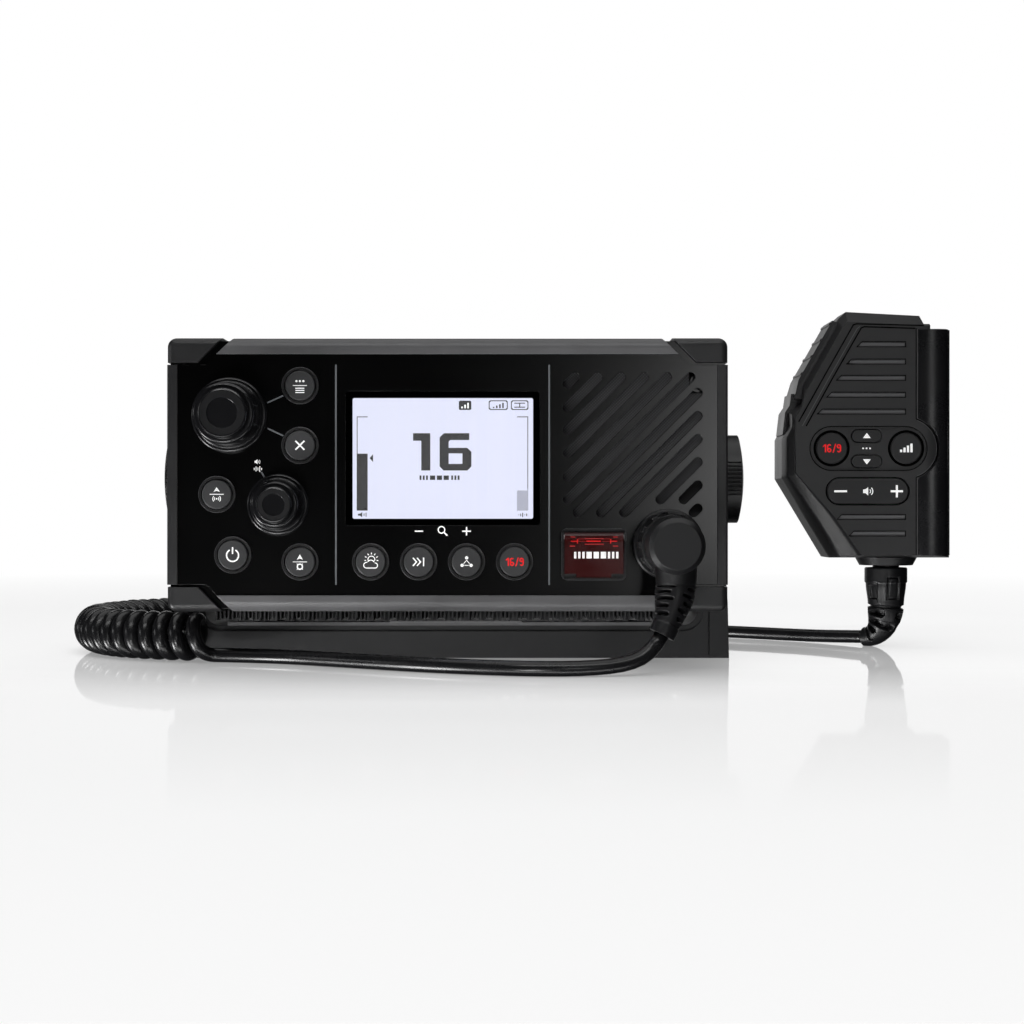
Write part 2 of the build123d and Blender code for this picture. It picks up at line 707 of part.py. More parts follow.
# --- loudspeaker, distress key, microphone socket ----------------------------------------
def make_speaker():
    x = (grille_x[0] - wide * cloth_lap, grille_x[1] + wide * cloth_lap)
    z = (pivot_z + grille_z[0] - cloth_lap, pivot_z + grille_z[1] + cloth_lap)
    cloth = block(x, (plate_back, plate_back + cloth_t), z)
    y = (plate_back - 1, plate_back + cloth_t + 1)
    corner = on_panel(screw_at)
    cloth -= block((corner[0] - post_r - gap, x[1] + 1), y, (corner[1] - post_r - gap, z[1] + 1))
    cloth -= bar_y(*on_panel(socket_at), socket_r - gap, y)
    cloth = cloth & prism_y(housing_outline(wall_t + gap), y)
    parts["grille_cloth"] = cloth
    front = plate_back + cloth_t
    r, m = speaker_r, magnet_r
    basket = turned_y([
        (r - 2.5, front), (r, front), (r, front + 1.6), (m, front + speaker_d - 8.0),
        (m, front + speaker_d), (0, front + speaker_d), (0, front + speaker_d - 9.0),
        (m - 3.0, front + speaker_d - 9.5), (r - 2.5, front + 1.6),
    ], *on_panel(speaker_at))
    cone = turned_y([
        (r - 2.6, front + 0.4), (r - 2.6, front + 1.0), (5.0, front + 7.6), (0, front + 5.6),
        (0, front + 5.0), (5.0, front + 7.0), (r - 3.4, front + 0.4),
    ], *on_panel(speaker_at))
    parts["speaker"] = Compound(children=[*basket.solids(), *cone.solids()])


def make_distress():
    x, z = on_panel(distress_at)
    y = front_y - surround_t
    frame = rounded_y((x, z), surround_w, surround_h, 2.0, (y, front_y))
    frame -= rounded_y((x, z), well_w, well_h, 1.0, (y - 1, front_y + 1))
    # the cover's pocket, a little larger than the cover, over a thin floor
    cover_top = z + surround_h / 2 - cover_top_gap
    cover_low = cover_top - cover_h
    floor_y = front_y - cover_floor
    pocket = ((x - cover_w / 2 - gap, x + cover_w / 2 + gap), (y - 1, floor_y))
    frame -= block(*pocket, (cover_low - tab_h - gap, cover_top + gap))
    hinge = (floor_y - barrel_r - gap, cover_top - barrel_r)
    for side in (-1, 1):
        inner, outer = x + side * (cover_w / 2 + gap), x + side * surround_w / 2
        ear = block(sorted((inner, outer)), (hinge[0] - 1.3, front_y - surround_t / 2),
                    (hinge[1] - 1.3, hinge[1] + 1.3))
        frame += ear
    frame -= bar_x(*hinge, hinge_r, (x - cover_w / 2 - gap - 0.5, x + cover_w / 2 + gap + 0.5))
    parts["distress_frame"] = frame
    parts["distress_hinge_pin"] = bar_x(*hinge, hinge_r, (x - cover_w / 2 - gap - 0.5,
                                                          x + cover_w / 2 + gap + 0.5))
    cover_y = floor_y - cover_lift
    cover = block((x - cover_w / 2, x + cover_w / 2), (cover_y - cover_t, cover_y),
                  (cover_low, hinge[1]))
    cover += bar_x(*hinge, barrel_r, (x - cover_w / 2, x + cover_w / 2))
    tab = (x - tab_w / 2, x + tab_w / 2)
    cover += block(tab, (cover_y - cover_t, cover_y), (cover_low - tab_h, cover_low))
    cover -= bar_x(*hinge, hinge_r + fit, (x - surround_w, x + surround_w))
    parts["distress_cover"] = cover
    button = rounded_y((x, z), well_w - 2 * gap, well_h - 2 * gap, 0.8,
                       (front_y - 0.4, distress_back))
    lap = 2 * distress_flange_lap
    button += rounded_y((x, z), well_w + lap, well_h + lap, 1.0, (plate_back + gap, distress_back))
    parts["distress_button"] = button


def make_plug():
    x, z = on_panel(socket_at)
    socket = bar_y(x, z, socket_r, (lip_y, front_y))
    socket = chamfer([e for e in socket.edges() if e.center().Y < lip_y + 0.1], 0.5)
    socket += bar_y(x, z, socket_body_r, (front_y, housing_back))
    depth = plate_back + socket_depth
    socket -= bar_y(x, z, spigot_r + fit, (lip_y - 1, depth))
    parts["mic_socket"] = socket
    spigot_end = depth - 0.5
    body = turned_y([(0, head_y[0]), (head_face_r, head_y[0]), (head_r, head_y[0] + 1.6),
                     (head_r, head_y[1]), (spigot_r, head_y[1]), (spigot_r, spigot_end),
                     (0, spigot_end)], x, z)
    drop = z - barrel_low_z
    neck = Pos(*barrel_at, barrel_low_z + drop / 2) * Cone(barrel_low_r, barrel_top_r, drop)
    parts["plug_body"] = body + neck
    front, back = ring_y
    bore_r = spigot_r + 1.6 * fit
    ring = turned_y([(bore_r, back), (ring_r - 0.7, back), (ring_r - 0.4, back - 0.6),
                     (ring_r - 0.9, front), (bore_r, front)], x, z)
    for i in range(ring_grips):
        grip = block((ring_r - 1.6, ring_r), (front + 0.8, back - 0.8), (-1.1, 1.1))
        ring += Pos(x, 0, z) * Rot(0, 360 / ring_grips * i, 0) * grip
    parts["plug_ring"] = ring
    way = Vector(*front_route[1]) - Vector(*boot_end)
    parts["plug_boot"] = tapered((*barrel_at, barrel_low_z), (0, 0, -1), boot_end, way,
                                 barrel_low_r, boot_end_r)


# --- rear chassis ------------------------------------------------------------------------
def make_chassis():
    half = chassis_half_w
    t = chassis_wall
    back, low, high = chassis_back, chassis_low, chassis_high
    outer = [(flange_front, low), (slope_from, low), (back, low + slope_rise), (back, high),
             (flange_front, high)]
    inner = [(flange_front - 1, low + t), (slope_from, low + t), (back - t, low + slope_rise + t),
             (back - t, high - t), (flange_front - 1, high - t)]
    body = prism_x(outer, (-half, half)) - prism_x(inner, (t - half, half - t))
    lip = prism_y(housing_outline(), (flange_front, flange_back))
    way_in = block((t - half, half - t), (flange_front - 1, flange_back + 1), (low + t, high - t))
    pad = screw_head_r + screw_pad
    for x, z in screw_places():
        outer_x = half_w if x > 0 else -half_w
        inner_x = x - pad if x > 0 else x + pad
        way_in -= block(sorted((inner_x, outer_x)), (flange_front - 1, flange_back + 1), (z - pad, z + pad))
    body += lip - way_in
    for x in spread(half - rib_in, rib_pitch):
        body += block((x - rib_t / 2, x + rib_t / 2), (flange_back, rib_back), (rib_low, low + 0.5))
    fin_top = pivot_z - rear_fin_drop
    for x in spread(half - rear_fin_in, rear_fin_pitch):
        body += block((x - rear_fin_t / 2, x + rear_fin_t / 2), (back - 0.5, back + rear_fin_d),
                      (fin_top - rear_fin_h, fin_top))
    for side in (-1, 1):
        body += bar_x(0, pivot_z, trunnion_r, sorted((side * (half - 1), side * trunnion_x)))
        boss = sorted((side * (stud_end_x - boss_t), side * (half - 1)))
        body += bar_x(0, pivot_z, stud_r + boss_t, boss)
        body -= bar_x(0, pivot_z, stud_r + fit, sorted((side * (stud_end_x - 1.5),
                                                       side * (trunnion_x + 1))))
    for x, z in screw_places():
        body -= bar_y(x, z, screw_head_r + gap, (flange_back, flange_back + screw_head_t + gap))
        body -= bar_y(x, z, screw_r + 0.2, (flange_front - 1, flange_back + 1))
    corner_x = half - t - main_board_in - main_post_in
    for x in (-corner_x, corner_x):
        for y in (main_board_y[0] + main_post_in, main_board_y[1] - main_post_in):
            body += bar_z(x, y, main_post_r, (low + t - 0.5, main_board_z))
    for x in antenna_x:
        body -= bar_y(x, connector_z, antenna_r + fit, (back - t - 1, back + 1))
    for x in data_x:
        body -= bar_y(x, connector_z, data_r + fit, (back - t - 1, back + 1))
    body -= bar_y(power_x, connector_z, power_r + fit, (back - t - 1, back + 1))
    parts["rear_chassis"] = body

    ring = prism_y(housing_outline(), (housing_back, flange_front))
    parts["chassis_gasket"] = ring - prism_y(housing_outline(wall_t), (housing_back - 1, flange_front + 1))
    screws = []
    for x, z in screw_places():
        screws.append(bar_y(x, z, screw_head_r, (flange_back, flange_back + screw_head_t))
                      + bar_y(x, z, screw_r, (flange_front - screw_len, flange_back)))
    parts["chassis_screws"] = Compound(children=[s for one in screws for s in one.solids()])


def make_insides():
    z = main_board_z
    edge = chassis_half_w - chassis_wall - main_board_in
    top = z + board_t
    board = block((-edge, edge), main_board_y, (z, top))
    can = block(shield_x, shield_y, (top, top + shield_h))
    power = block(heatsink_x, heatsink_y, (top, top + heatsink_h))
    parts["main_board"] = Compound(children=[*board.solids(), *can.solids(), *power.solids()])


def spread(half, pitch):
    """Places a pitch apart, centred, within half of a width."""
    n = int(half / pitch)
    return [i * pitch for i in range(-n, n + 1)]


def threaded(x, r, length, hole_r, hole_depth):
    """A socket on the rear wall: a barrel through the wall, a collar outside and its recess."""
    end = chassis_back + length
    body = bar_y(x, connector_z, r, (chassis_back - chassis_wall - 3.0, end))
    body += bar_y(x, connector_z, r + thread_collar, (chassis_back, chassis_back + collar_t))
    body -= bar_y(x, connector_z, hole_r, (end - hole_depth, end + 1))
    return body


def make_connectors():
    sockets = []
    side = antenna_flange / 2
    for x in antenna_x:
        flange = block((x - side, x + side), (chassis_back, chassis_back + collar_t),
                       (connector_z - side, connector_z + side))
        sockets.append(threaded(x, antenna_r, antenna_len, antenna_hole_r, antenna_hole_depth) + flange)
    parts["antenna_connectors"] = Compound(children=[s for one in sockets for s in one.solids()])
    sockets = []
    for x in data_x:
        sockets.append(threaded(x, data_r, data_len, data_r - recess_wall, recess_depth))
    parts["data_sockets"] = Compound(children=[s for one in sockets for s in one.solids()])
    parts["power_socket"] = threaded(power_x, power_r, power_len, power_r - recess_wall, recess_depth)


# --- gimbal ------------------------------------------------------------------------------
def make_bracket():
    half = base_w / 2
    top = arm_end_z
    outline = [(-half, 0), (half, 0), (half - arm_draft, top), (arm_inner, top), (arm_inner, base_h),
               (-arm_inner, base_h), (-arm_inner, top), (arm_draft - half, top)]
    depth = base_d / 2
    sketch = plane_y(depth) * make_face(Polyline(*outline, close=True))
    corners = [v for v in sketch.vertices() if abs(v.Z - base_h) < 0.01]
    body = extrude(fillet(corners, inner_r), amount=base_d)
    side = make_hull((Pos(0, arm_shoulder / 2) * Rectangle(base_d, arm_shoulder)).edges()
                     + (Pos(0, pivot_z) * Circle(arm_top_r)).edges())
    across = Plane(origin=(-half - 1, 0, 0), x_dir=(0, 1, 0), z_dir=(1, 0, 0))
    body = body & extrude(across * side, amount=base_w + 2)
    hollow = [(-arm_inner - rebate_w, top + 1), (arm_inner + rebate_w, top + 1),
              (arm_inner + rebate_w, base_h - rebate_w), (-arm_inner - rebate_w, base_h - rebate_w)]
    for y in (-depth, depth - rebate_d):
        sketch = plane_y(y + rebate_d) * make_face(Polyline(*hollow, close=True))
        corners = [v for v in sketch.vertices() if v.Z < base_h]
        body -= extrude(fillet(corners, inner_r + rebate_w), amount=rebate_d)
    for s in (-1, 1):
        line = sorted((s * (arm_inner + seam_in), s * (arm_inner + seam_in + line_w)))
        body -= block(line, (-depth - 1, line_w - depth), (1.2, top))
        pad = bar_x(0, pivot_z, pad_r, sorted((s * (arm_inner + 1), s * pad_x)))
        body += pad
        body -= bar_x(0, pivot_z, arm_hole_r, sorted((s * (arm_inner - 1), s * (pad_x + 1))))
        for t in (-1, 1):
            x, y = s * screw_grid[0] / 2, t * screw_grid[1] / 2
            body -= bar_z(x, y, base_screw_r, (-1, base_h + 1))
            body -= bar_z(x, y, sink_r, (base_h - sink_d, base_h + 1))
    parts["gimbal_bracket"] = body


def make_gimbal_knobs():
    washers = []
    for s, name in ((-1, "left"), (1, "right")):
        ring = bar_x(0, pivot_z, trunnion_r, sorted((s * trunnion_x, s * (trunnion_x + washer_t))))
        washers.append(ring - bar_x(0, pivot_z, stud_r + 0.5, (-100, 100)))
        low = pad_x + clamp_gap
        high = low + clamp_washer_t
        clamp = bar_x(0, pivot_z, clamp_washer_r, sorted((s * low, s * high)))
        clamp -= bar_x(0, pivot_z, stud_r + 0.1, sorted((s * (low - 1), s * (high + 1))))
        parts["gimbal_washer_" + name] = clamp
        base = high + clamp_gap
        top = base + knob_h + knob_dome
        knob = bar_x(0, 0, knob_r, (base, top))
        knob = chamfer([e for e in knob.edges() if e.center().X < base + 0.1], 0.6)
        ball_r = (knob_r**2 + knob_dome**2) / (2 * knob_dome)
        knob = knob & (Pos(top - ball_r, 0, 0) * Rot(0, 90, 0) * Sphere(ball_r))
        step = knob_grip_span / (knob_grip_ribs - 1)
        for quarter in range(4):
            for i in range(knob_grip_ribs):
                cut = block((base + 0.8, top + 1), (-grip_w / 2, grip_w / 2),
                            (knob_r - grip_deep, knob_r + 1))
                knob -= Rot(90 * quarter + step * (i - (knob_grip_ribs - 1) / 2), 0, 0) * cut
        knob += bar_x(0, 0, stud_r, (stud_end_x, base + 1))
        knob = Pos(0, 0, pivot_z) * knob
        parts["gimbal_knob_" + name] = mirror(knob, about=Plane.YZ) if s < 0 else knob
    parts["friction_washers"] = Compound(children=[s for one in washers for s in one.solids()])


# --- hand microphone ---------------------------------------------------------------------
def hand(points):
    return [(x + hand_at[0], z + hand_at[2]) for x, z in points]


def hand_xz(at):
    return at[0] + hand_at[0], at[1] + hand_at[2]


def hand_y(depth):
    """A depth behind the microphone's front face, as a value of y."""
    return hand_at[1] - hand_t / 2 + depth


def half_shell(front):
    """One half of the case, from the middle plane to its face, with its outer bevel."""
    sign = -1 if front else 1
    middle, face = hand_at[1], hand_at[1] + sign * hand_t / 2
    shoulder = face - sign * hand_bevel
    body = prism_y(hand(hand_outline), sorted((middle, shoulder)))
    wide = plane_y(shoulder) * make_face(Polyline(*hand(hand_outline), close=True))
    narrow = plane_y(face) * make_face(Polyline(*hand(hand_face), close=True))
    body += loft([wide, narrow], ruled=True)
    right = hand_at[0] + hand_outline[2][0]
    r = hand_round
    keep = Plane.XY.offset(0) * make_face(Curve() + [
        Line((hand_at[0] - 60, middle), (right, middle)),
        Line((right, middle), (right, face - sign * r)),
        RadiusArc((right, face - sign * r), (right - r, face), -sign * r),
        Line((right - r, face), (hand_at[0] - 60, face)),
        Line((hand_at[0] - 60, face), (hand_at[0] - 60, middle)),
    ])
    shell = body & extrude(keep, amount=hand_at[2] + 100)
    top = hand_at[2] + hand_outline[0][1] + 1
    for at in hand_steps:
        x, z = hand_xz(at)
        shell -= block((x, right + 1), sorted((middle - sign, face + sign)), (z, top))
    return shell


def talk_frame():
    """Where the talk bar sits: the lower end of its slanted side, along it, and inwards."""
    a, b = Vector(*hand_outline[10]), Vector(*hand_outline[11])
    along = (b - a).normalized()
    inward = Vector(along.Y, -along.X)
    return a, along, inward


def talk_point(along_by, inward_by):
    a, along, inward = talk_frame()
    p = a + along * along_by + inward * inward_by
    return p.X, p.Y


def talk_post(r, inward_from, inward_to, y):
    a, along, inward = talk_frame()
    x, z = hand_xz(talk_point(talk_len / 2, inward_from))
    plane = Plane(origin=(x, y, z), z_dir=(inward.X, 0, inward.Y))
    return extrude(plane * Circle(r), amount=inward_to - inward_from)


def make_hand_shells():
    floor = talk_deep + talk_travel + gap
    end = talk_len + 0.4
    pocket = [*talk_floor, talk_point(0, floor), talk_point(end, floor), talk_point(end, -hand_t)]
    talk_y = (hand_at[1] - talk_w / 2 - gap, hand_at[1] + talk_w / 2 + gap)
    cavity = prism_y(hand(hand_cavity), (hand_y(hand_wall), hand_y(hand_t - hand_wall)))
    spigot = bar_z(hand_at[0], hand_at[1], boot_core_r + fit, (hand_at[2] - 1, hand_at[2] + boot_core_room))
    for name in ("front", "rear"):
        shell = half_shell(name == "front") - cavity - spigot
        shell -= prism_y(hand(pocket), talk_y)
        for y in (hand_at[1] - talk_post_at, hand_at[1] + talk_post_at):
            shell -= talk_post(talk_post_r + gap, floor - 1, floor + 2 * talk_post_len, y)
        parts[f"handset_{name}_shell"] = shell
    shell = parts["handset_front_shell"]
    face = hand_y(0)
    middle = (sum(recess_x) / 2, sum(recess_z) / 2)
    shell -= slot_y(hand_xz(middle), recess_x[1] - recess_x[0], recess_z[1] - recess_z[0],
                    (face - 1, face + recess_deep))
    low, high = -hand_slot_h / 2, hand_slot_h / 2
    for x, z in hand_slots:
        slot = [(x, z + low), (hand_slot_right, z + low), (hand_slot_right, z + high),
                (x + hand_slot_h, z + high)]
        shell -= prism_y(hand(slot), (face - 1, face + hand_slot_deep))
    through = (face - 1, hand_y(hand_wall) + 1)
    for x in (hand_key_16_x, hand_key_power_x):
        shell -= bar_y(*hand_xz((x, hand_key_z)), hand_key_r + gap, through)
    for z in (pill_up_z, pill_down_z):
        shell -= slot_y(hand_xz((pill_x, z)), pill_w + 2 * gap, pill_h + 2 * gap, through)
    shell -= slot_y(hand_xz(rocker_at), rocker_w + 2 * gap, rocker_h + 2 * gap, through)
    x, z = hand_xz(rocker_at)
    pin_y = hand_y(hand_wall) + rocker_pin_r + gap
    for s in (-1, 1):
        inner = z + s * (rocker_h / 2 + 2 * gap)
        outer = inner + s * rocker_lug[1]
        lug = block((x - rocker_lug[0] / 2, x + rocker_lug[0] / 2),
                    (hand_y(hand_wall) - 0.5, pin_y + rocker_pin_r + gap), sorted((inner, outer)))
        shell += lug - bar_z(x, pin_y, rocker_pin_r + fit, sorted((inner - s, outer + s)))
    for at in hand_posts:
        shell += bar_y(*hand_xz(at), hand_post_r, (hand_y(hand_wall) - 0.5, hand_y(hand_board_y)))
    parts["handset_front_shell"] = shell


def make_talk_bar():
    bar = [talk_point(talk_len, -talk_proud), talk_point(0.2, -talk_proud), *talk_low,
           talk_point(0, talk_deep), talk_point(talk_len, talk_deep)]
    middle = hand_at[1]
    body = prism_y(hand(bar), (middle - talk_w / 2, middle + talk_w / 2))
    a, along, inward = talk_frame()
    outer = Plane(origin=(hand_at[0] + a.X, middle, hand_at[2] + a.Y), x_dir=(0, 1, 0),
                  z_dir=(inward.X, 0, inward.Y))
    edges = [e for e in body.edges() if outer.to_local_coords(e.center()).Z < -talk_proud / 2
             and abs(e.center().Y - middle) > talk_w / 2 - 0.1]
    body = chamfer(edges, talk_edge)
    for y in (middle - talk_post_at, middle + talk_post_at):
        body += talk_post(talk_post_r, talk_deep - 0.5, talk_deep + talk_post_len, y)
    parts["handset_ptt"] = body


def make_hand_keys():
    front = hand_y(recess_deep - hand_key_proud)
    back = hand_y(hand_wall) + gap + flange_t
    flange = (back - flange_t, back)
    for name, x in (("handset_key_16", hand_key_16_x), ("handset_key_power", hand_key_power_x)):
        at = hand_xz((x, hand_key_z))
        cap = bar_y(*at, hand_key_r, (front, back))
        cap = chamfer([e for e in cap.edges() if e.center().Y < front + 0.1], 0.4)
        parts[name] = cap + bar_y(*at, hand_key_r + hand_key_flange, flange)
    for name, z in (("handset_key_up", pill_up_z), ("handset_key_down", pill_down_z)):
        at = hand_xz((pill_x, z))
        cap = slot_y(at, pill_w, pill_h, (front, back))
        parts[name] = cap + slot_y(at, pill_w + 2 * pill_flange, pill_h + 2 * pill_flange, flange)
    x, z = hand_xz(rocker_at)
    front = hand_y(-rocker_proud)
    rocker = slot_y((x, z), rocker_w, rocker_h, (front, hand_y(hand_wall)))
    edge = [e for e in rocker.edges() if e.center().Y < front + 0.1]
    rocker = chamfer(edge, 0.4)
    pin_y = hand_y(hand_wall) + rocker_pin_r + gap
    across, tall = rocker_web[0] / 2, rocker_web[1] / 2
    rocker += block((x - across, x + across), (hand_y(hand_wall) - 0.5, pin_y), (z - tall, z + tall))
    reach = rocker_h / 2 + gap + rocker_lug[1]
    rocker += bar_z(x, pin_y, rocker_pin_r, (z - reach, z + reach))
    parts["handset_volume_rocker"] = rocker


def make_hand_insides():
    y = (hand_y(hand_board_y), hand_y(hand_board_y) + board_t)
    board = prism_y(hand(hand_board), y)
    press_to = hand_y(hand_wall) + 2 * gap + flange_t + hand_travel
    for at in ((hand_key_16_x, hand_key_z), (hand_key_power_x, hand_key_z),
               (pill_x, pill_up_z), (pill_x, pill_down_z)):
        board += bar_y(*hand_xz(at), hand_stem_r, (press_to, y[0]))
    voice = bar_y(*hand_xz(capsule_at), capsule_r, (hand_y(hand_wall), hand_y(hand_wall) + capsule_d))
    parts["handset_electronics"] = Compound(children=[*board.solids(), *voice.solids()])


def make_hand_fittings():
    x, y, z = hand_at
    boot = Pos(x, y, z - flange_h / 2) * Cone(flange_low_r, flange_top_r, flange_h)
    boot += bar_z(x, y, boot_core_r, (z + sleeve_z[1] - 0.5, z + boot_core_h))
    boot += bar_z(x, y, sleeve_r, (z + sleeve_z[0], z + sleeve_z[1]))
    top = z + sleeve_z[0]
    low = z + sleeve_low_z
    boot += Pos(x, y, (top + low) / 2) * Cone(sleeve_low_r, sleeve_r - sleeve_step, top - low)
    way = Vector(*rear_route[-2]) - Vector(*hand_boot_end)
    boot += tapered((x, y, low), (0, 0, -1), hand_boot_end, way, sleeve_low_r, hand_boot_end_r)
    parts["handset_boot"] = boot
    at = hand_xz(hanger_at)
    back = hand_y(hand_t)
    hanger = bar_y(*at, hanger_flange_r, (back, back + hanger_flange_t))
    stem_end = back + hanger_flange_t + hanger_stem_len
    hanger += bar_y(*at, hanger_stem_r, (back, stem_end))
    head = (stem_end, stem_end + hanger_head_t)
    cap = bar_y(*at, hanger_head_r, head)
    cap = fillet([e for e in cap.edges() if e.center().Y > head[1] - 0.1], hanger_round)
    parts["handset_hanger"] = hanger + cap


# --- cord --------------------------------------------------------------------------------
def make_cord():
    parts["mic_cord_front"] = tube("mic_cord_front", front_route, cord_r)
    coil = [(x, y, coil_r) for x, y in coil_route]
    parts["mic_cord_coil"] = tube("mic_cord_coil", coil, coil_r)
    parts["mic_cord_rear"] = tube("mic_cord_rear", rear_route, cord_r)


make_front()
make_trim()
make_keys()
make_knob("channel", channel_at, channel_r, channel_face_r, channel_h)
make_knob("volume", volume_at, volume_r, volume_face_r, volume_h)
make_speaker()
make_distress()
make_plug()
make_chassis()
make_insides()
make_connectors()
make_bracket()
make_gimbal_knobs()
make_hand_shells()
make_talk_bar()
make_hand_keys()
make_hand_insides()
make_hand_fittings()
make_cord()

os.makedirs("parts", exist_ok=True)
for name, shape in parts.items():
    export_step(shape, f"parts/{name}.step")
print(len(parts), "nodes")
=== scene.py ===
import bpy
from math import cos, pi, radians, sin
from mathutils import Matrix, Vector
from mathutils.bvhtree import BVHTree
from mathutils.geometry import tessellate_polygon


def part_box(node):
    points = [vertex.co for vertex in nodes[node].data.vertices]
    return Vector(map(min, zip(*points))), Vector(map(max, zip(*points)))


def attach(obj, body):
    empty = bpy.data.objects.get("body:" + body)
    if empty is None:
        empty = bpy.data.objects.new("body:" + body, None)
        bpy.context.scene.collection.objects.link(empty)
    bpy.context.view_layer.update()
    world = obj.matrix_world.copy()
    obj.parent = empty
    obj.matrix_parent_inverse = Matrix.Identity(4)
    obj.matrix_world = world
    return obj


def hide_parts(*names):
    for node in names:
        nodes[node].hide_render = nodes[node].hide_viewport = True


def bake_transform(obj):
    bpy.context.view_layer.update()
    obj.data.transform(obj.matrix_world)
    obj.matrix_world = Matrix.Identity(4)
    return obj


# VHF marine radio: camera, cords, marks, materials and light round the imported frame.
# Lengths below are in millimetres; mm() turns them into the frame's metres.
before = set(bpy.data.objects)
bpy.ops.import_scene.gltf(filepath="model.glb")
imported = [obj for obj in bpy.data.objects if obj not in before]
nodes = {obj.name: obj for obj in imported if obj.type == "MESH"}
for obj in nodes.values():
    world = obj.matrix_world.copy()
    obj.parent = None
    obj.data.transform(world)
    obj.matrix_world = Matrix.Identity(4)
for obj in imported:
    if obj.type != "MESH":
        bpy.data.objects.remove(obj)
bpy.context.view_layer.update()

PIVOT_Z = 64.0  # centre of the panel above the floor
PANEL_Y = -76.0  # the glossy front plane
HAND = (164.9, 34.35)  # x and z of the microphone's bottom edge
CAMERA_AT = (21.5, -656.0, 51.6)
SENSOR, FOCAL_PX, IMAGE_PX = 36.0, 1740.0, 1024.0


def mm(*values):
    return Vector([v * 0.001 for v in values]) if len(values) > 1 else values[0] * 0.001


def add(name, data):
    obj = bpy.data.objects.new(name, data)
    bpy.context.scene.collection.objects.link(obj)
    return obj


def mesh_object(name, verts, faces, smooth=False):
    mesh = bpy.data.meshes.new(name)
    mesh.from_pydata([tuple(v) for v in verts], [], faces)
    mesh.validate()
    mesh.shade_smooth() if smooth else mesh.shade_flat()
    return add(name, mesh)


# --- camera
camera = add("camera", bpy.data.cameras.new("camera"))
camera.location = mm(*CAMERA_AT)
camera.rotation_euler = (radians(90), 0, 0)
camera.data.sensor_width = SENSOR
camera.data.lens = SENSOR * FOCAL_PX / IMAGE_PX
camera.data.clip_start = 0.01
bpy.context.scene.camera = camera
bpy.context.scene.view_settings.view_transform = "Standard"

# --- cords
CORD_R = 2.5
HELIX_R = 6.2
COIL_Z = 8.75
TURNS = 46
POINTS_PER_TURN = 14
LEAD_IN = 13.0  # the coil's first and last turns open out over this length
FRONT_ROUTE = [
    (69.0, -103.4, 12.6), (66.2, -103.9, 7.4), (58.5, -107.3, 3.6), (45.5, -110.5, 2.5),
    (29.0, -111.5, 2.5), (11.0, -105.6, 2.5), (-7.0, -97.0, 2.5), (-22.5, -87.0, 2.5),
    (-38.0, -76.8, 2.5), (-52.0, -67.7, 2.5), (-65.0, -62.2, 2.5),
]
COIL_ROUTE = [
    (-78.5, -58.5), (-88.0, -55.9), (-98.8, -51.9), (-110.5, -45.5), (-121.0, -36.0),
    (-129.0, -22.5), (-133.5, -6.0), (-133.0, 11.0), (-127.0, 27.5), (-117.0, 42.5),
    (-104.0, 56.0), (-88.5, 68.0), (-70.5, 78.0), (-49.5, 85.0), (-26.0, 88.7), (0.0, 89.5),
    (18.0, 88.6),
]
REAR_ROUTE = [
    (18.0, 88.6, 2.5), (36.0, 87.7, 2.5), (54.0, 84.2, 2.5), (72.0, 78.5, 2.5),
    (89.0, 71.2, 2.5), (104.5, 62.4, 2.5), (119.0, 52.0, 2.5), (132.5, 40.6, 2.5),
    (145.5, 29.0, 2.7), (158.0, 17.2, 3.4),
]


def spline_points(points, resolution):
    """Points, in metres, read from the NURBS spline whose control points are given in mm."""
    data = bpy.data.curves.new("route", "CURVE")
    data.dimensions = "3D"
    spline = data.splines.new("NURBS")
    spline.points.add(len(points) - 1)
    for point, place in zip(spline.points, points):
        point.co = (*mm(*place), 1.0)
    spline.order_u = 3
    spline.use_endpoint_u = True
    spline.resolution_u = resolution
    obj = add("route", data)
    bpy.context.view_layer.update()
    mesh = bpy.data.meshes.new_from_object(obj.evaluated_get(bpy.context.evaluated_depsgraph_get()))
    found = [v.co.copy() for v in mesh.vertices]
    bpy.data.objects.remove(obj)
    bpy.data.meshes.remove(mesh)
    return found


def smooth_step(t):
    t = min(max(t, 0.0), 1.0)
    return t * t * (3 - 2 * t)


def distances(points):
    """How far along the path each of its points lies."""
    along = [0.0]
    for a, b in zip(points, points[1:]):
        along.append(along[-1] + (b - a).length)
    return along


def length_of(path):
    return distances(path)[-1]


def helix_points(axis):
    """The curly stretch as control points in mm: turns round the axis from floor side to floor
    side, the first and last of them drawn out into the straight cord."""
    along = distances(axis)
    total = along[-1]
    steps = 12000
    share = [min(smooth_step(total * i / steps / LEAD_IN), smooth_step(total * (1 - i / steps) / LEAD_IN))
             for i in range(steps + 1)]
    whole = sum(share)
    radius = HELIX_R / cos(pi / POINTS_PER_TURN) ** 0.5
    spacing = 2 * pi * radius / POINTS_PER_TURN
    out, angle, gone, k = [], -pi / 2, spacing, 0
    up = Vector((0, 0, 1))
    for i in range(steps + 1):
        s = total * i / steps
        turn = 2 * pi * TURNS * share[i] / whole
        angle += turn
        gone += ((radius * turn) ** 2 + (total / steps) ** 2) ** 0.5
        if gone < spacing and i < steps:
            continue
        if i == steps and gone < 0.6 * spacing:
            out.pop()
        gone = 0.0
        while k < len(along) - 2 and along[k + 1] < s:
            k += 1
        t = (s - along[k]) / (along[k + 1] - along[k])
        centre = axis[k].lerp(axis[k + 1], t)
        ahead = (axis[min(k + 2, len(axis) - 1)] - axis[max(k - 1, 0)]).normalized()
        side = up.cross(ahead).normalized()
        loose = 1.0 - 0.012 * (1 + sin(0.37 * angle)) - 0.012 * (1 + sin(1.13 * angle + 0.6))
        floor_side = max(0.0, -sin(angle))
        r = radius * (loose + (1 - loose) * floor_side)
        out.append(centre + side * (r * cos(angle)) + up * (r * sin(angle)))
    return out


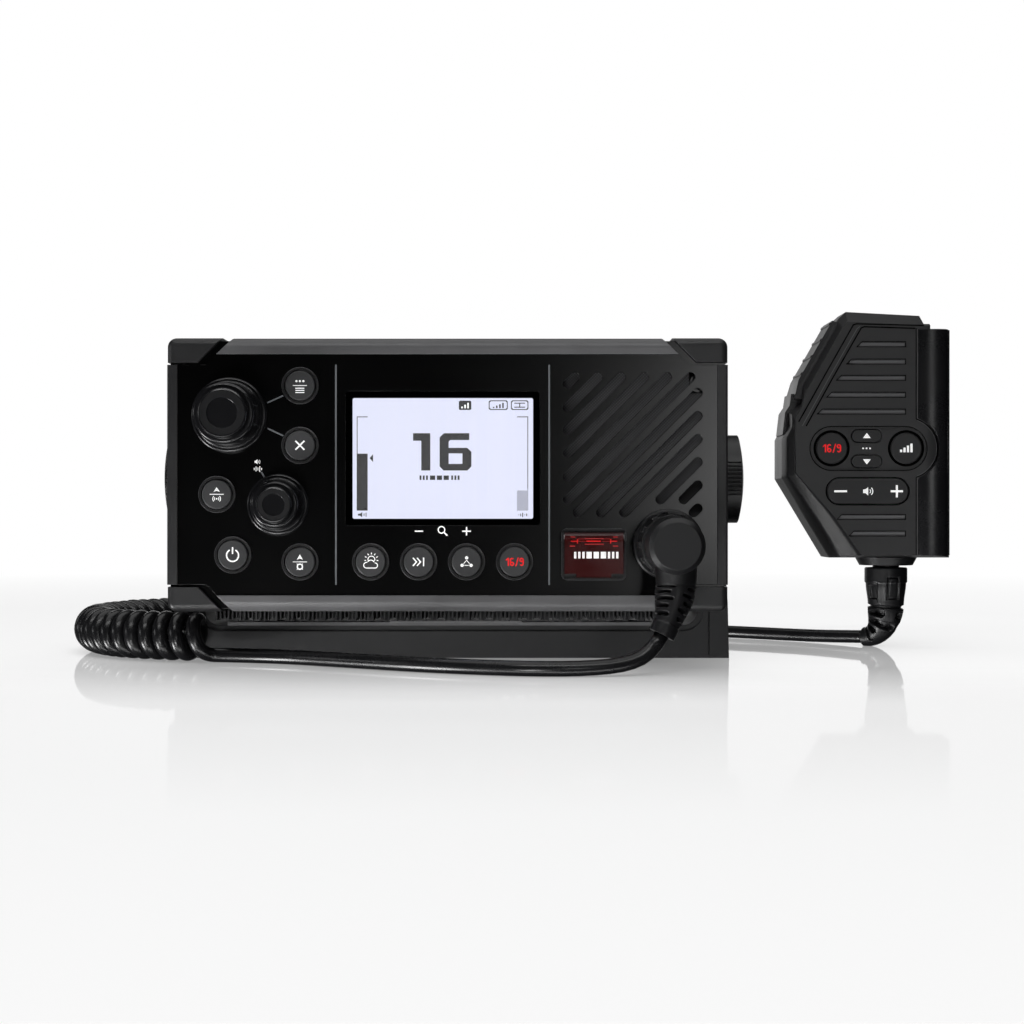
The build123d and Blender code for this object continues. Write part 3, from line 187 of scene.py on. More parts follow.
def frames(path, side):
    """Each point of a path with two directions across it, carried along without twisting."""
    for i, place in enumerate(path):
        ahead = (path[min(i + 1, len(path) - 1)] - path[max(i - 1, 0)]).normalized()
        side = (side - ahead * side.dot(ahead)).normalized()
        yield place, side, ahead.cross(side)


def ringed(name, verts, around):
    """A closed piece of rings with that many points each, capped at both ends."""
    faces = []
    for first in range(0, len(verts) - around, around):
        for j in range(around):
            a, b = first + j, first + (j + 1) % around
            faces.append((a, b, b + around, a + around))
    faces.append(tuple(range(around))[::-1])
    faces.append(tuple(range(len(verts) - around, len(verts))))
    return mesh_object(name, verts, faces, smooth=True)


def tube(name, path, radius, sides=14):
    """A mesh tube of one thickness along points in metres, closed at both ends."""
    verts = []
    start = (path[1] - path[0]).normalized().cross(Vector((0, 0, 1))).normalized()
    for place, side, other in frames(path, start):
        for j in range(sides):
            a = 2 * pi * j / sides
            verts.append(place + (side * cos(a) + other * sin(a)) * radius)
    return ringed(name, verts, sides)


def crisp(obj, degrees=32):
    obj.data.shade_smooth()
    obj.data.set_sharp_from_angle(angle=radians(degrees))
    return obj


def turned(name, profile, x, z, around=128):
    """A piece turned round the Y axis through (x, z); profile = (radius, y) from back to front."""
    verts = []
    for r, y in profile:
        for j in range(around):
            a = 2 * pi * j / around
            verts.append(mm(x + r * cos(a), y, z + r * sin(a)))
    return crisp(ringed(name, verts, around))


def swept(name, path, radius, around=132):
    """A closed piece along a path in mm; radius(s, a) in mm at s mm along it and the angle a, which
    is 0 in front (-Y) and grows towards -X."""
    points = [Vector(q) for q in path]
    verts = []
    for s, (place, side, other) in zip(distances(points), frames(points, Vector((0, -1, 0)))):
        for j in range(around):
            a = 2 * pi * j / around
            verts.append((place + (side * cos(a) + other * sin(a)) * radius(s, a)) * 0.001)
    return crisp(ringed(name, verts, around), 50)


def bezier_path(a, a_way, b, b_way, count):
    """Dense points in mm from a, leaving along a_way, to b, arriving along b_way."""
    a, b = Vector(a), Vector(b)
    p, q = a + Vector(a_way), b - Vector(b_way)
    out = []
    for i in range(count + 1):
        t = i / count
        out.append(a * (1 - t) ** 3 + p * 3 * t * (1 - t) ** 2 + q * 3 * t * t * (1 - t) + b * t ** 3)
    return out


def slot_depth(s, a, r, slots):
    """How deep a boot's slots are at (s, a): slots = (s, half height, angle, half width, depth)."""
    deep = 0.0
    for s0, half_h, a0, half_w, depth in slots:
        turn = (a - radians(a0) + pi) % (2 * pi) - pi
        over = max(abs(turn) * r - radians(half_w) * r + half_h, 0.0)
        reach = (over * over + (s - s0) ** 2) ** 0.5
        deep = max(deep, depth * smooth_step((half_h - reach) / 0.3 + 0.5))
    return deep


coil_axis = [v * 1000 for v in spline_points([(x, y, COIL_Z) for x, y in COIL_ROUTE], 24)]
curly_path = spline_points(FRONT_ROUTE + [tuple(p) for p in helix_points(coil_axis)], 3)
rear_path = spline_points(REAR_ROUTE, 16)

# --- boots, with their staggered slots
BARREL_LOW, BOOT_END = (74.1, -98.0, 28.5), (69.0, -103.4, 12.6)
PLUG_SLOTS = []
for level in range(5):
    stagger = 7 if level % 2 else -3
    for a0, half in ((50, 40), (-62, 33), (140, 36), (-152, 36)):
        PLUG_SLOTS.append((2.0 + 2.55 * level, 0.62, a0 + stagger, half, 2.0))


def plug_boot_radius(s, a):
    r = 6.5 - 2.5 * smooth_step((s - 2.0) / 15.0)
    return r + 0.3 * smooth_step((s - 14.4) / 0.4) - slot_depth(s, a, r, PLUG_SLOTS)


route_way = (Vector(FRONT_ROUTE[1]) - Vector(FRONT_ROUTE[0])).normalized()
plug_line = bezier_path(BARREL_LOW, (-0.6, -0.6, -6), BOOT_END, route_way * 5.0, 110)
plug_boot = swept("plug_boot_ribbed", plug_line, plug_boot_radius)
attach(plug_boot, "radio")
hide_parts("plug_boot")

CORE_TOP, SLEEVE_LOW, HAND_BOOT_END = 39.8, 17.4, (158.0, 17.2, 3.4)
SLEEVE_TOP = 9.4  # along the boot, from the top of its core
HAND_SLOTS = [
    (24.3, 0.5, 0, 180, 1.0), (26.7, 1.4, 50, 36, 2.8), (26.9, 1.2, -52, 26, 2.0), (26.7, 1.3, 150, 36, 2.4),
    (26.7, 1.3, -140, 36, 2.4), (30.6, 1.25, 22, 58, 2.6), (30.6, 1.2, 165, 52, 2.2),
    (30.6, 1.2, -95, 34, 1.6), (34.2, 0.95, 66, 40, 2.2), (34.2, 0.9, 180, 40, 1.8),
    (37.2, 0.6, 50, 46, 1.2), (37.2, 0.6, 180, 46, 1.2),
]


def hand_boot_radius(s, a):
    turn = (a + pi) % (2 * pi) - pi
    down = s - SLEEVE_TOP
    if s < 5.4:
        return 5.0
    if s < 8.6:
        return 11.7 - 1.7 * (s - 5.4) / 3.2
    if down < 0:
        return 5.0
    r = 8.05 - 0.45 * smooth_step((down - 5.4) / 0.7) - 0.8 * smooth_step((down - 6.0) / 8.0)
    r -= 3.1 * smooth_step((down - 15.0) / 17.0)
    r -= 0.3 * (1 - smooth_step(down / 0.4))
    if down < 14.6:
        across = abs(turn) * r  # the tongue in front
        edge = min(4.7 - across, 14.3 - down + min(0.0, 3.2 - across) * 0.8)
        r += 0.4 * smooth_step(edge / 0.4 + 0.5) * smooth_step((down - 5.2) / 0.8)
        ring = max(abs(turn + 0.17) * r - 2.1, abs(down - 7.8) - 4.0)
        r -= 0.7 * smooth_step((0.5 - abs(ring)) / 0.35)  # the groove round its raised key
        window = min(1.7 - abs(turn - 0.98) * r, 2.6 - abs(down - 9.3))
        r -= 0.9 * smooth_step(window / 0.35 + 0.5)
    return r - slot_depth(s, a, max(r, 4.0), HAND_SLOTS)


rear_way = (Vector(REAR_ROUTE[-2]) - Vector(REAR_ROUTE[-1])).normalized()
sleeve_line = [(164.9, 11.5, CORE_TOP - 0.16 * i) for i in range(140)]
bent_line = bezier_path((164.9, 11.5, SLEEVE_LOW), (0, 0, -9.5), HAND_BOOT_END, rear_way * 5.5, 100)
hand_boot = swept("handset_boot_ribbed", sleeve_line + bent_line, hand_boot_radius)
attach(hand_boot, "handset")
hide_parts("handset_boot")

# --- the cords' own pieces
cord_front = tube("curly_cord", curly_path, mm(CORD_R))
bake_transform(cord_front)
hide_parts("mic_cord_front", "mic_cord_coil")
mm(*FRONT_ROUTE[0])
length_of(curly_path)
cord_rear = tube("rear_cord", rear_path, mm(CORD_R), sides=20)
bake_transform(cord_rear)
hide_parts("mic_cord_rear")
mm(*REAR_ROUTE[0])
length_of(rear_path)

# --- materials: helpers
def node(tree, kind, inputs=None, **settings):
    """A shader node; an input given as a socket is linked, any other value is set."""
    made = tree.nodes.new("ShaderNode" + kind)
    for key, value in settings.items():
        setattr(made, key, value)
    for key, value in (inputs or {}).items():
        if isinstance(value, bpy.types.NodeSocket):
            tree.links.new(value, made.inputs[key])
        else:
            made.inputs[key].default_value = value
    return made


def grey(level):
    return (level, level, level + 0.001)


def material(name, color, rough, **sockets):
    """A new material with its Principled surface; a named socket takes a constant."""
    made = bpy.data.materials.new(name)
    made.use_nodes = True
    tree = made.node_tree
    surface = tree.nodes["Principled BSDF"]
    surface.inputs["Base Color"].default_value = (*color, 1)
    surface.inputs["Roughness"].default_value = rough
    for key, value in sockets.items():
        surface.inputs[key.replace("_", " ")].default_value = value
    here = node(tree, "TexCoord").outputs["Object"]
    return made, tree, surface, here


def noise(tree, here, size, detail=3.0, rough=0.55):
    """Noise whose features are about size mm across."""
    return node(tree, "TexNoise", {"Vector": here, "Scale": 1000 / size, "Detail": detail,
                                   "Roughness": rough}).outputs["Fac"]


def span(tree, value, low, high, start=0.0, end=1.0):
    return node(tree, "MapRange", {"Value": value, "From Min": start, "From Max": end,
                                   "To Min": low, "To Max": high}).outputs["Result"]


def mixed(tree, share, a, b):
    made = node(tree, "Mix", {"Factor": share}, data_type="RGBA")
    for key, value in ((6, a), (7, b)):
        if isinstance(value, bpy.types.NodeSocket):
            tree.links.new(value, made.inputs[key])
        else:
            made.inputs[key].default_value = (*value, 1)
    return made.outputs[2]


def calc(tree, kind, a, b=0.0):
    return node(tree, "Math", {0: a, 1: b}, operation=kind).outputs[0]


def component(tree, vector, axis):
    return node(tree, "SeparateXYZ", {"Vector": vector}).outputs[axis]


def times(tree, a, b):
    return calc(tree, "MULTIPLY", a, b)


def link(surface, key, socket):
    surface.id_data.links.new(socket, surface.inputs[key])


def tint(tree, surface, share, a, b):
    link(surface, "Base Color", mixed(tree, share, a, b))


def relief(tree, surface, height, deep, **more):
    """Bump of that depth in mm."""
    made = node(tree, "Bump", {"Height": height, "Distance": mm(deep), "Strength": 1.0, **more})
    link(surface, "Normal", made.outputs["Normal"])


def moulded(name, color, rough, grain=0.3, deep=0.012, spread=0.12, edge=0.25, edge_wear_and_highlight=0.25,
            cloud=18.0, **sockets):
    """Moulded plastic, rubber or paint: grain of that size and depth in mm, uneven gloss, and
    slightly rounded edges, painted lighter for rubbing wear and as a painted edge highlight."""
    made, tree, surface, here = material(name, color, rough, **sockets)
    fine = noise(tree, here, grain)
    broad = noise(tree, here, cloud, 5.0)
    rounded = node(tree, "Bevel", {"Radius": mm(edge)}, samples=4).outputs["Normal"]
    flat = node(tree, "NewGeometry").outputs["Normal"]
    bend = node(tree, "VectorMath", {0: rounded, 1: flat}, operation="DOT_PRODUCT").outputs["Value"]
    # edges are painted lighter: partly rubbing wear, partly a painted edge highlight
    worn_and_highlit_edges = times(tree, span(tree, bend, 1.0, 0.0, 0.80, 0.985), span(tree, fine, 0.2, edge_wear_and_highlight))
    worn_and_highlit_tone = tuple(min(c * 1.9 + 0.012, 1.0) for c in color)
    darker = tuple(c * 0.78 for c in color)
    body = mixed(tree, span(tree, broad, 0.0, 1.0, 0.3, 0.7), darker, color)
    tint(tree, surface, worn_and_highlit_edges, body, worn_and_highlit_tone)
    gloss = calc(tree, "ADD", span(tree, broad, rough * (1 - spread), rough * (1 + spread), 0.3, 0.7),
                 times(tree, fine, 0.06))
    link(surface, "Roughness", gloss)
    relief(tree, surface, fine, deep, Normal=rounded)
    return made


def metal(name, color, rough, brushed=0.12, **sockets):
    """Plated or turned metal with fine tool marks and a little tarnish."""
    made, tree, surface, here = material(name, color, rough, Metallic=1.0, **sockets)
    stretch = node(tree, "Mapping", {"Vector": here, "Scale": (1.0, 9.0, 1.0)}).outputs["Vector"]
    marks = noise(tree, stretch, brushed, 2.0)
    tarnish = noise(tree, here, 7.0, 5.0)
    dull = tuple(c * 0.62 for c in color)
    tint(tree, surface, span(tree, tarnish, 0.0, 1.0, 0.35, 0.75), color, dull)
    link(surface, "Roughness", span(tree, marks, rough * 0.75, rough * 1.35))
    relief(tree, surface, marks, 0.004)
    return made


def ink(name, color, glow, rough=0.55):
    """Printed ink, a little uneven where the screen left it thinner; its glow makes it shine without light
    falling on it, which is painted light except on the backlit display.
    """
    made, tree, surface, here = material(name, color, rough)
    thin = span(tree, noise(tree, here, 0.35, 2.0), 0.86, 1.0, 0.35, 0.65)
    tint(tree, surface, thin, tuple(c * 0.6 for c in color), color)
    surface.inputs["Emission Color"].default_value = (*color, 1)
    surface.inputs["Emission Strength"].default_value = glow
    return made


def knob_finish(name, at, rings):
    """Satin knob; rings = (inner, outer) radii in mm of the textured band on its face."""
    made, tree, surface, here = material(name, grey(0.007), 0.22)
    dx = calc(tree, "SUBTRACT", component(tree, here, "X"), mm(at[0]))
    dz = calc(tree, "SUBTRACT", component(tree, here, "Z"), mm(at[1] + PIVOT_Z))
    out = calc(tree, "SQRT", calc(tree, "ADD", times(tree, dx, dx), times(tree, dz, dz)))
    facing = component(tree, node(tree, "NewGeometry").outputs["Normal"], "Y")
    front = calc(tree, "LESS_THAN", facing, -0.9)
    inside = calc(tree, "LESS_THAN", out, mm(rings[1]))
    band = times(tree, times(tree, front, inside), calc(tree, "GREATER_THAN", out, mm(rings[0])))
    fine = noise(tree, here, 0.3, 2.0)
    soft = noise(tree, here, 6.0, 4.0)
    tint(tree, surface, times(tree, band, fine), grey(0.007), grey(0.012))
    rough = span(tree, soft, 0.19, 0.25, 0.3, 0.7)
    link(surface, "Roughness", calc(tree, "ADD", rough, times(tree, band, 0.12)))
    relief(tree, surface, times(tree, fine, band), 0.03)
    return made


def cloth_finish():
    """Woven dust cloth behind the slots."""
    made, tree, surface, here = material("grille_cloth_weave", (0.03, 0.03, 0.032), 0.9)
    slanted = node(tree, "Mapping", {"Vector": here, "Rotation": (0, radians(45), 0)}).outputs["Vector"]
    threads = []
    for axis in ("X", "Z"):
        threads.append(node(tree, "TexWave", {"Vector": slanted, "Scale": 1000 / 0.36 / 20 * 3.2,
                                              "Distortion": 0.6, "Detail": 1.0},
                            bands_direction=axis).outputs["Fac"])
    weave = times(tree, threads[0], threads[1])
    tint(tree, surface, weave, grey(0.022), (0.095, 0.095, 0.100))
    relief(tree, surface, weave, 0.12)
    return made


def board_finish():
    """Solder mask over tracks and pads."""
    made, tree, surface, here = material("circuit_board", (0.01, 0.09, 0.035), 0.35)
    tracks = node(tree, "TexBrick", {"Vector": here, "Color1": (0.008, 0.07, 0.028, 1),
                                     "Color2": (0.012, 0.10, 0.04, 1), "Mortar": (0.03, 0.19, 0.07, 1),
                                     "Scale": 260.0, "Mortar Size": 0.012}).outputs["Color"]
    link(surface, "Base Color", tracks)
    link(surface, "Roughness", span(tree, noise(tree, here, 3.0), 0.25, 0.5))
    return made


def clear_finish(name, color, rough):
    made, tree, surface, here = material(name, color, rough, Transmission_Weight=1.0, IOR=1.46)
    smear = noise(tree, here, 9.0, 5.0)
    link(surface, "Roughness", span(tree, smear, rough, rough + 0.05, 0.4, 0.8))
    return made


def screen_finish():
    """Backlit display: pale, with its grid of picture dots."""
    made, tree, surface, here = material("lcd_backlight", (0.02, 0.02, 0.025), 0.5)
    dots = node(tree, "TexBrick", {"Vector": here, "Color1": (1, 1, 1, 1), "Color2": (0.97, 0.975, 1, 1),
                                   "Mortar": (0.80, 0.82, 0.9, 1), "Scale": 1000 / 0.33, "Mortar Size": 0.03,
                                   "Brick Width": 1.0, "Row Height": 1.0},
                offset=0.0).outputs["Color"]
    uneven = span(tree, noise(tree, here, 45.0, 1.0), 0.97, 1.0)
    cool = node(tree, "VectorMath", {0: dots, 1: (0.800, 0.825, 0.990)}, operation="MULTIPLY")
    lit = node(tree, "VectorMath", {0: cool.outputs["Vector"], "Scale": uneven}, operation="SCALE")
    link(surface, "Emission Color", lit.outputs["Vector"])
    surface.inputs["Emission Strength"].default_value = SCREEN_GLOW
    return made


def cover_finish():
    """Tinted clear plastic of the distress cover, scuffed by its catch."""
    made, tree, surface, here = material("distress_cover_red", (0.10, 0.006, 0.006), 0.16,
                                         Transmission_Weight=0.55, IOR=1.49)
    scuff = noise(tree, here, 5.0, 4.0)
    link(surface, "Roughness", span(tree, scuff, 0.12, 0.22, 0.3, 0.7))
    tint(tree, surface, scuff, (0.075, 0.006, 0.006), (0.10, 0.009, 0.009))
    return made


# centres of the front keys
KEYS = {
    "menu": (-49.1, 29.7), "cancel": (-49.1, 9.8), "ais": (-76.8, -6.5), "power": (-71.5, -26.7),
    "nav": (-49.1, -29.0), "weather": (-25.555, -29.0), "scan": (-9.585, -29.0), "tri": (6.385, -29.0),
    "channel16": (22.355, -29.0),
}


# --- materials: one for each node
SCREEN_GLOW = 1.0
finishes = {
    "panel": moulded("gloss_panel", (0.0002, 0.0002, 0.0003), 0.17, 0.12, 0.0006, 0.1, 0.25, 0.3, 40.0),
    "trim": moulded("satin_trim", grey(0.019), 0.36, 0.26, 0.022, 0.12, 0.4, 0.35),
    "window": clear_finish("display_glass", (1, 1, 1), 0.0),
    "lcd": moulded("display_frame", grey(0.006), 0.35, 0.2, 0.004),
    "cloth": cloth_finish(),
    "speaker": moulded("paper_cone", (0.02, 0.02, 0.02), 0.8, 0.4, 0.05),
    "soft_keys": moulded("key_rubber", (0.044, 0.044, 0.046), 0.42, 0.13, 0.01, 0.1, 0.3, 0.45),
    "board": board_finish(),
    "chassis": moulded("powder_coat", grey(0.014), 0.52, 0.35, 0.03, 0.1, 0.4, 0.4),
    "gasket": moulded("gasket_rubber", (0.012, 0.012, 0.012), 0.7, 0.3, 0.02),
    "steel": metal("screw_steel", (0.56, 0.56, 0.57), 0.3),
    "nickel": metal("connector_nickel", (0.62, 0.59, 0.54), 0.22),
    "socket": moulded("socket_plastic", (0.02, 0.02, 0.022), 0.42, 0.2, 0.01),
    "rim": moulded("key_rim", (0.035, 0.035, 0.037), 0.3, 0.2, 0.004, 0.1, 0.1, 0.3),
    "distress": cover_finish(),
    "distress_key": moulded("distress_key_red", (0.42, 0.012, 0.01), 0.42, 0.2, 0.01),
    "plug": moulded("plug_rubber", grey(0.008), 0.42, 0.16, 0.014, 0.12, 0.5, 0.35),
    "boot": moulded("boot_rubber", grey(0.009), 0.34, 0.2, 0.012, 0.12, 0.35, 0.35),
    "bracket": moulded("bracket_plastic", grey(0.005), 0.44, 0.26, 0.03, 0.12, 0.5, 0.4),
    "washer": moulded("washer_nylon", (0.05, 0.05, 0.052), 0.5, 0.25, 0.01),
    "cord": moulded("cord_jacket", grey(0.009), 0.24, 0.25, 0.006, 0.12, 0.2, 0.2),
    "handset": moulded("handset_shell", grey(0.026), 0.36, 0.15, 0.012, 0.12, 0.6, 0.4),
    "handset_keys": moulded("handset_key_rubber", grey(0.022), 0.45, 0.14, 0.01, 0.1, 0.3, 0.4),
}
SLOT_FLOOR = ink("slot_floor", (0.150, 0.150, 0.155), 0.0, 0.6)
SEAM = ink("seam_shadow", (0.001, 0.001, 0.001), 0.0, 0.9)
SEAM.node_tree.nodes["Principled BSDF"].inputs["Specular IOR Level"].default_value = 0.0
# lighter grey lines beside the seams: a painted highlight on the ridge edges
SEAM_HIGHLIGHT = ink("seam_ridge_highlight", (0.085, 0.085, 0.088), 0.0, 0.5)
BAND_FINISH = moulded("handset_band_satin", grey(0.006), 0.24, 0.2, 0.006, 0.1, 0.3, 0.3)
# the pale grey of the bracket strip is a painted highlight along the bracket's front edge
BRACKET_HIGHLIGHT_FINISH = moulded("bracket_strip_painted_highlight", (0.115, 0.115, 0.118), 0.5, 0.3, 0.01, 0.15, 0.2, 0.2)
CHANNEL_AT, VOLUME_AT = (-72.5, 19.75), (-56.3, -10.0)
own_finish = {
    "channel_knob": knob_finish("channel_knob_satin", CHANNEL_AT, (4.9, 7.4)),
    "volume_knob": knob_finish("volume_knob_satin", VOLUME_AT, (3.6, 5.4)),
    "bezel_rails": moulded("rail_satin", (0.130, 0.130, 0.134), 0.32, 0.26, 0.022, 0.12, 0.4, 0.35),
    "keypad_mat": moulded("keypad_mat_black", (0.0015, 0.0015, 0.0016), 0.4, 0.2, 0.004, 0.1, 0.2, 0.1),
    "mic_socket": moulded("socket_ring_satin", grey(0.006), 0.3, 0.2, 0.004, 0.1, 0.4, 0.3),
    "gimbal_knob_left": moulded("grip_plastic", grey(0.004), 0.4, 0.25, 0.02, 0.12, 0.5, 0.3),
}


def dress(obj, finish, body, slot, *replaced):
    obj.data.materials.append(finish)
    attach(obj, body)
    if replaced:
        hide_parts(*replaced)
    return obj


def knob_piece(name, at, r, face_r, tall):
    skirt, face = PANEL_Y - 1.3, PANEL_Y - tall
    wall = r - 1.75
    outline = [(0, skirt - 3.6), (5.6, skirt - 3.6), (5.6, skirt)]
    for inward, out in ((0.5, 0), (0.1, 0.2), (0, 0.6), (0.06, 1.0), (0.25, 1.35), (0.55, 1.55), (0.85, 1.6),
                        (0.95, 1.3), (1.15, 1.3), (1.2, 2.2), (1.3, 2.6), (1.55, 2.85), (1.75, 2.9)):
        outline.append((r - inward, skirt - out))
    outline.append((wall - 0.35, skirt - 0.45 * tall))
    for inward, back in ((0.75, 3.7), (0.95, 3.2), (1.3, 2.85), (1.7, 2.75)):
        outline.append((wall - inward, face + back))
    for inward, back in ((-0.05, 2.75), (0.1, 2.2), (0.2, 0.9), (0.3, 0.45), (0.5, 0.12), (0.75, 0),
                         (0.95, 0.05), (1.05, 0.3)):
        outline.append((face_r - inward, face + back))
    outline += [(face_r * 0.60, face + 0.3), (face_r * 0.58, face + 0.5), (0, face + 0.5)]
    piece = turned(name + "_turned", outline, at[0], at[1] + PIVOT_Z)
    dress(piece, own_finish[name], name, "knob", name)


for name, obj in nodes.items():
    slot = obj.data.materials[0].name.split(".")[0]
    chosen = own_finish.get(name.replace("knob_right", "knob_left")) or finishes.get(slot)
    if chosen:
        obj.data.materials[0] = chosen
for obj, finish in ((cord_front, "cord"), (cord_rear, "cord"), (plug_boot, "boot"), (hand_boot, "boot")):
    obj.data.materials.append(finishes[finish])

knob_piece("channel_knob", CHANNEL_AT, 12.6, 8.4, 17.0)
knob_piece("volume_knob", VOLUME_AT, 10.3, 6.2, 13.0)

# thin bright rims of the soft rings round the keys
RIM = [(5.86, -76.3), (5.9, -76.55), (6.0, -76.66), (6.1, -76.66), (6.2, -76.55), (6.22, -76.3)]
RIM_SIDES = 72
for key, (x, z) in KEYS.items():
    verts, faces = [], []
    for i, (r, y) in enumerate(RIM):
        for j in range(RIM_SIDES):
            turn = 2 * pi * j / RIM_SIDES
            verts.append(mm(x + r * cos(turn), y, z + PIVOT_Z + r * sin(turn)))
            a, b, k = i * RIM_SIDES, (i + 1) % len(RIM) * RIM_SIDES, (j + 1) % RIM_SIDES
            faces.append((a + j, a + k, b + k, b + j))
    dress(crisp(mesh_object("rim_" + key, verts, faces), 60), finishes["rim"], "radio", "soft_keys")


def blocks(name, boxes):
    """One piece of boxes, each given in mm as (x0, x1, y0, y1, z0, z1)."""
    verts, faces = [], []
    for x0, x1, y0, y1, z0, z1 in boxes:
        first = len(verts)
        verts += [mm(x, y, z) for x in (x0, x1) for y in (y0, y1) for z in (z0, z1)]
        for f in ((0, 1, 3, 2), (4, 6, 7, 5), (0, 4, 5, 1), (2, 3, 7, 6), (0, 2, 6, 4), (1, 5, 7, 3)):
            faces.append(tuple(first + i for i in f))
    return mesh_object(name, verts, faces)


# finer ribs under the chassis, with a wall between them
RIB_TIP, RIB_FLOOR, RIB_HALF = 14.5, 20.2, 0.28
RIB_FROM, RIB_PITCH, RIB_COUNT = -79.8, 1.375, 117
ribs = []
for i in range(RIB_COUNT):
    x = RIB_FROM + RIB_PITCH * i
    ribs.append((x - RIB_HALF, x + RIB_HALF, -59.5, 8.0, RIB_TIP + 0.35 * (i % 3), RIB_FLOOR))
ribs.append((-80.5, 80.5, -50.0, -49.0, RIB_TIP, RIB_FLOOR))
dress(blocks("chassis_rib_comb", ribs), finishes["chassis"], "radio", "chassis")

# lighter grey strip along the front of the bracket's base, with a raised middle; its pale grey is a painted
# highlight along that edge
HIGHLIGHT_STRIP_BOXES = [(-79.0, 80.0, -41.0, -38.0, 11.5, 12.7), (-21.6, 25.0, -41.1, -38.0, 12.5, 13.2)]
dress(blocks("bracket_strip", HIGHLIGHT_STRIP_BOXES), BRACKET_HIGHLIGHT_FINISH, "bracket", "bracket")

# rounded lower flank of the microphone's front, over its shell's flat bevel
FLANK = [((-23.4, 0.0), (-12.8, 1.0)), ((-32.0, 14.4), (-23.4, 16.1)), ((-38.0, 24.3), (-32.2, 26.1)),
         ((-41.4, 30.0), (-37.2, 31.9)), ((-41.4, 45.0), (-37.5, 44.0)), ((-38.9, 49.6), (-37.6, 48.2)),
         ((-38.9, 54.9), (-37.3, 51.6))]
ROWS, COLS = 12, 20
grid = []
for (a, c), (b, d) in zip(FLANK, FLANK[1:]):
    for i in range(ROWS + (b == FLANK[-1][0])):
        t = i / ROWS
        grid.append((Vector(a).lerp(Vector(b), t), Vector(c).lerp(Vector(d), t)))
verts, faces = [], []
for back in (0, 1):
    for outer, inner in grid:
        for j in range(COLS + 1):
            t = j / COLS
            q = outer.lerp(inner, t)
            u = (t - 0.4) / 0.5
            if u < 0:
                y = 3.0 - 7.4 * sin(pi / 2 * t / 0.4)
            elif u < 1:
                y = -4.4 - 1.6 * (1.25 * u - 0.25 * u * u)
            else:
                y = -6.0 + 0.45 * (t - 0.9) / 0.1
            if back:
                y = max(y, 3.3 - 8.0 * t)
            verts.append(mm(HAND[0] + q.x, y, HAND[1] + q.y))
wide, deep = COLS + 1, len(grid)
for back in (0, 1):
    for i in range(deep - 1):
        for j in range(COLS):
            a = back * wide * deep + i * wide + j
            quad = (a, a + 1, a + wide + 1, a + wide)
            faces.append(quad[::-1] if back else quad)
ring = ([i * wide for i in range(deep)] + [(deep - 1) * wide + j for j in range(1, wide)]
        + [i * wide + COLS for i in range(deep - 2, -1, -1)] + [j for j in range(COLS - 1, 0, -1)])
for i, a in enumerate(ring):
    b = ring[(i + 1) % len(ring)]
    faces.append((a, b, b + wide * deep, a + wide * deep))
flank = crisp(mesh_object("handset_flank", verts, faces), 60)
dress(flank, finishes["handset"], "handset", "handset")

# raised band along the microphone's right side, cut out round the power key
BAND_Z = [1.0 + 84.6 * i / 84 for i in range(85)]
BAND_END = 21.2


def band_rows(z):
    """Front and back outline of the band at that height, as (x, y) in mm."""
    reach = 11.8 ** 2 - (z - 41.1) ** 2
    start = max(8.3, 4.3 + max(reach, 0.0) ** 0.5)
    front = [(start, -5.3)]
    for j in range(17):
        x = start + 0.12 + (BAND_END - start - 0.12) * j / 16
        y = -6.6 + 1.2 * ((x - 14.2) / 6.2) ** 2 + 3.6 * smooth_step((x - 18.0) / 3.2) ** 2
        front.append((x, y))
    return front + [(BAND_END, 0.0), (start, 0.0)]


verts, faces = [], []
for z in BAND_Z:
    verts += [mm(HAND[0] + x, y, HAND[1] + z) for x, y in band_rows(z)]
size = len(band_rows(0.0))
for i in range(len(BAND_Z) - 1):
    for j in range(size):
        a, b = i * size + j, i * size + (j + 1) % size
        faces.append((a, a + size, b + size, b))
faces.append(tuple(range(size)))
faces.append(tuple(range((len(BAND_Z) - 1) * size, len(BAND_Z) * size))[::-1])
dress(crisp(mesh_object("handset_band", verts, faces), 40), BAND_FINISH, "handset", "handset")

# lip of the shell under the talk bar
LIP = [(-40.9, 46.5), (-39.9, 55.0), (-38.2, 57.6), (-37.6, 62.0), (-33.4, 62.0), (-32.0, 55.0),
       (-34.0, 46.5)]
verts = [mm(HAND[0] + x, y, HAND[1] + z) for y in (3.2, 19.6) for x, z in LIP]
faces = [tuple(range(7))[::-1], tuple(range(7, 14))]
faces += [(i, (i + 1) % 7, (i + 1) % 7 + 7, i + 7) for i in range(7)]
dress(crisp(mesh_object("handset_lip", verts, faces)), finishes["handset"], "handset", "handset")

# ribs across the outer side of the talk bar
SLANT = (Vector((-20.0, 90.2)) - Vector((-33.7, 66.2))).normalized()
OUT = Vector((-SLANT.y, SLANT.x))
verts, faces = [], []
for along in (2.9, 10.4, 17.6, 24.6):
    root = Vector(HAND) + Vector((-33.7, 66.2)) + SLANT * along + OUT * 1.6
    first = len(verts)
    for y in (2.4, 20.6):
        for q in (root - SLANT * 0.75, root - SLANT * 0.35 + OUT * 0.5, root + SLANT * 0.35 + OUT * 0.5,
                  root + SLANT * 0.75):
            verts.append(mm(q.x, y, q.y))
    for f in ((0, 1, 2, 3), (7, 6, 5, 4), (0, 4, 5, 1), (1, 5, 6, 2), (2, 6, 7, 3), (3, 7, 4, 0)):
        faces.append(tuple(first + i for i in f))
dress(mesh_object("talk_ribs", verts, faces), finishes["handset"], "handset_ptt", "handset")

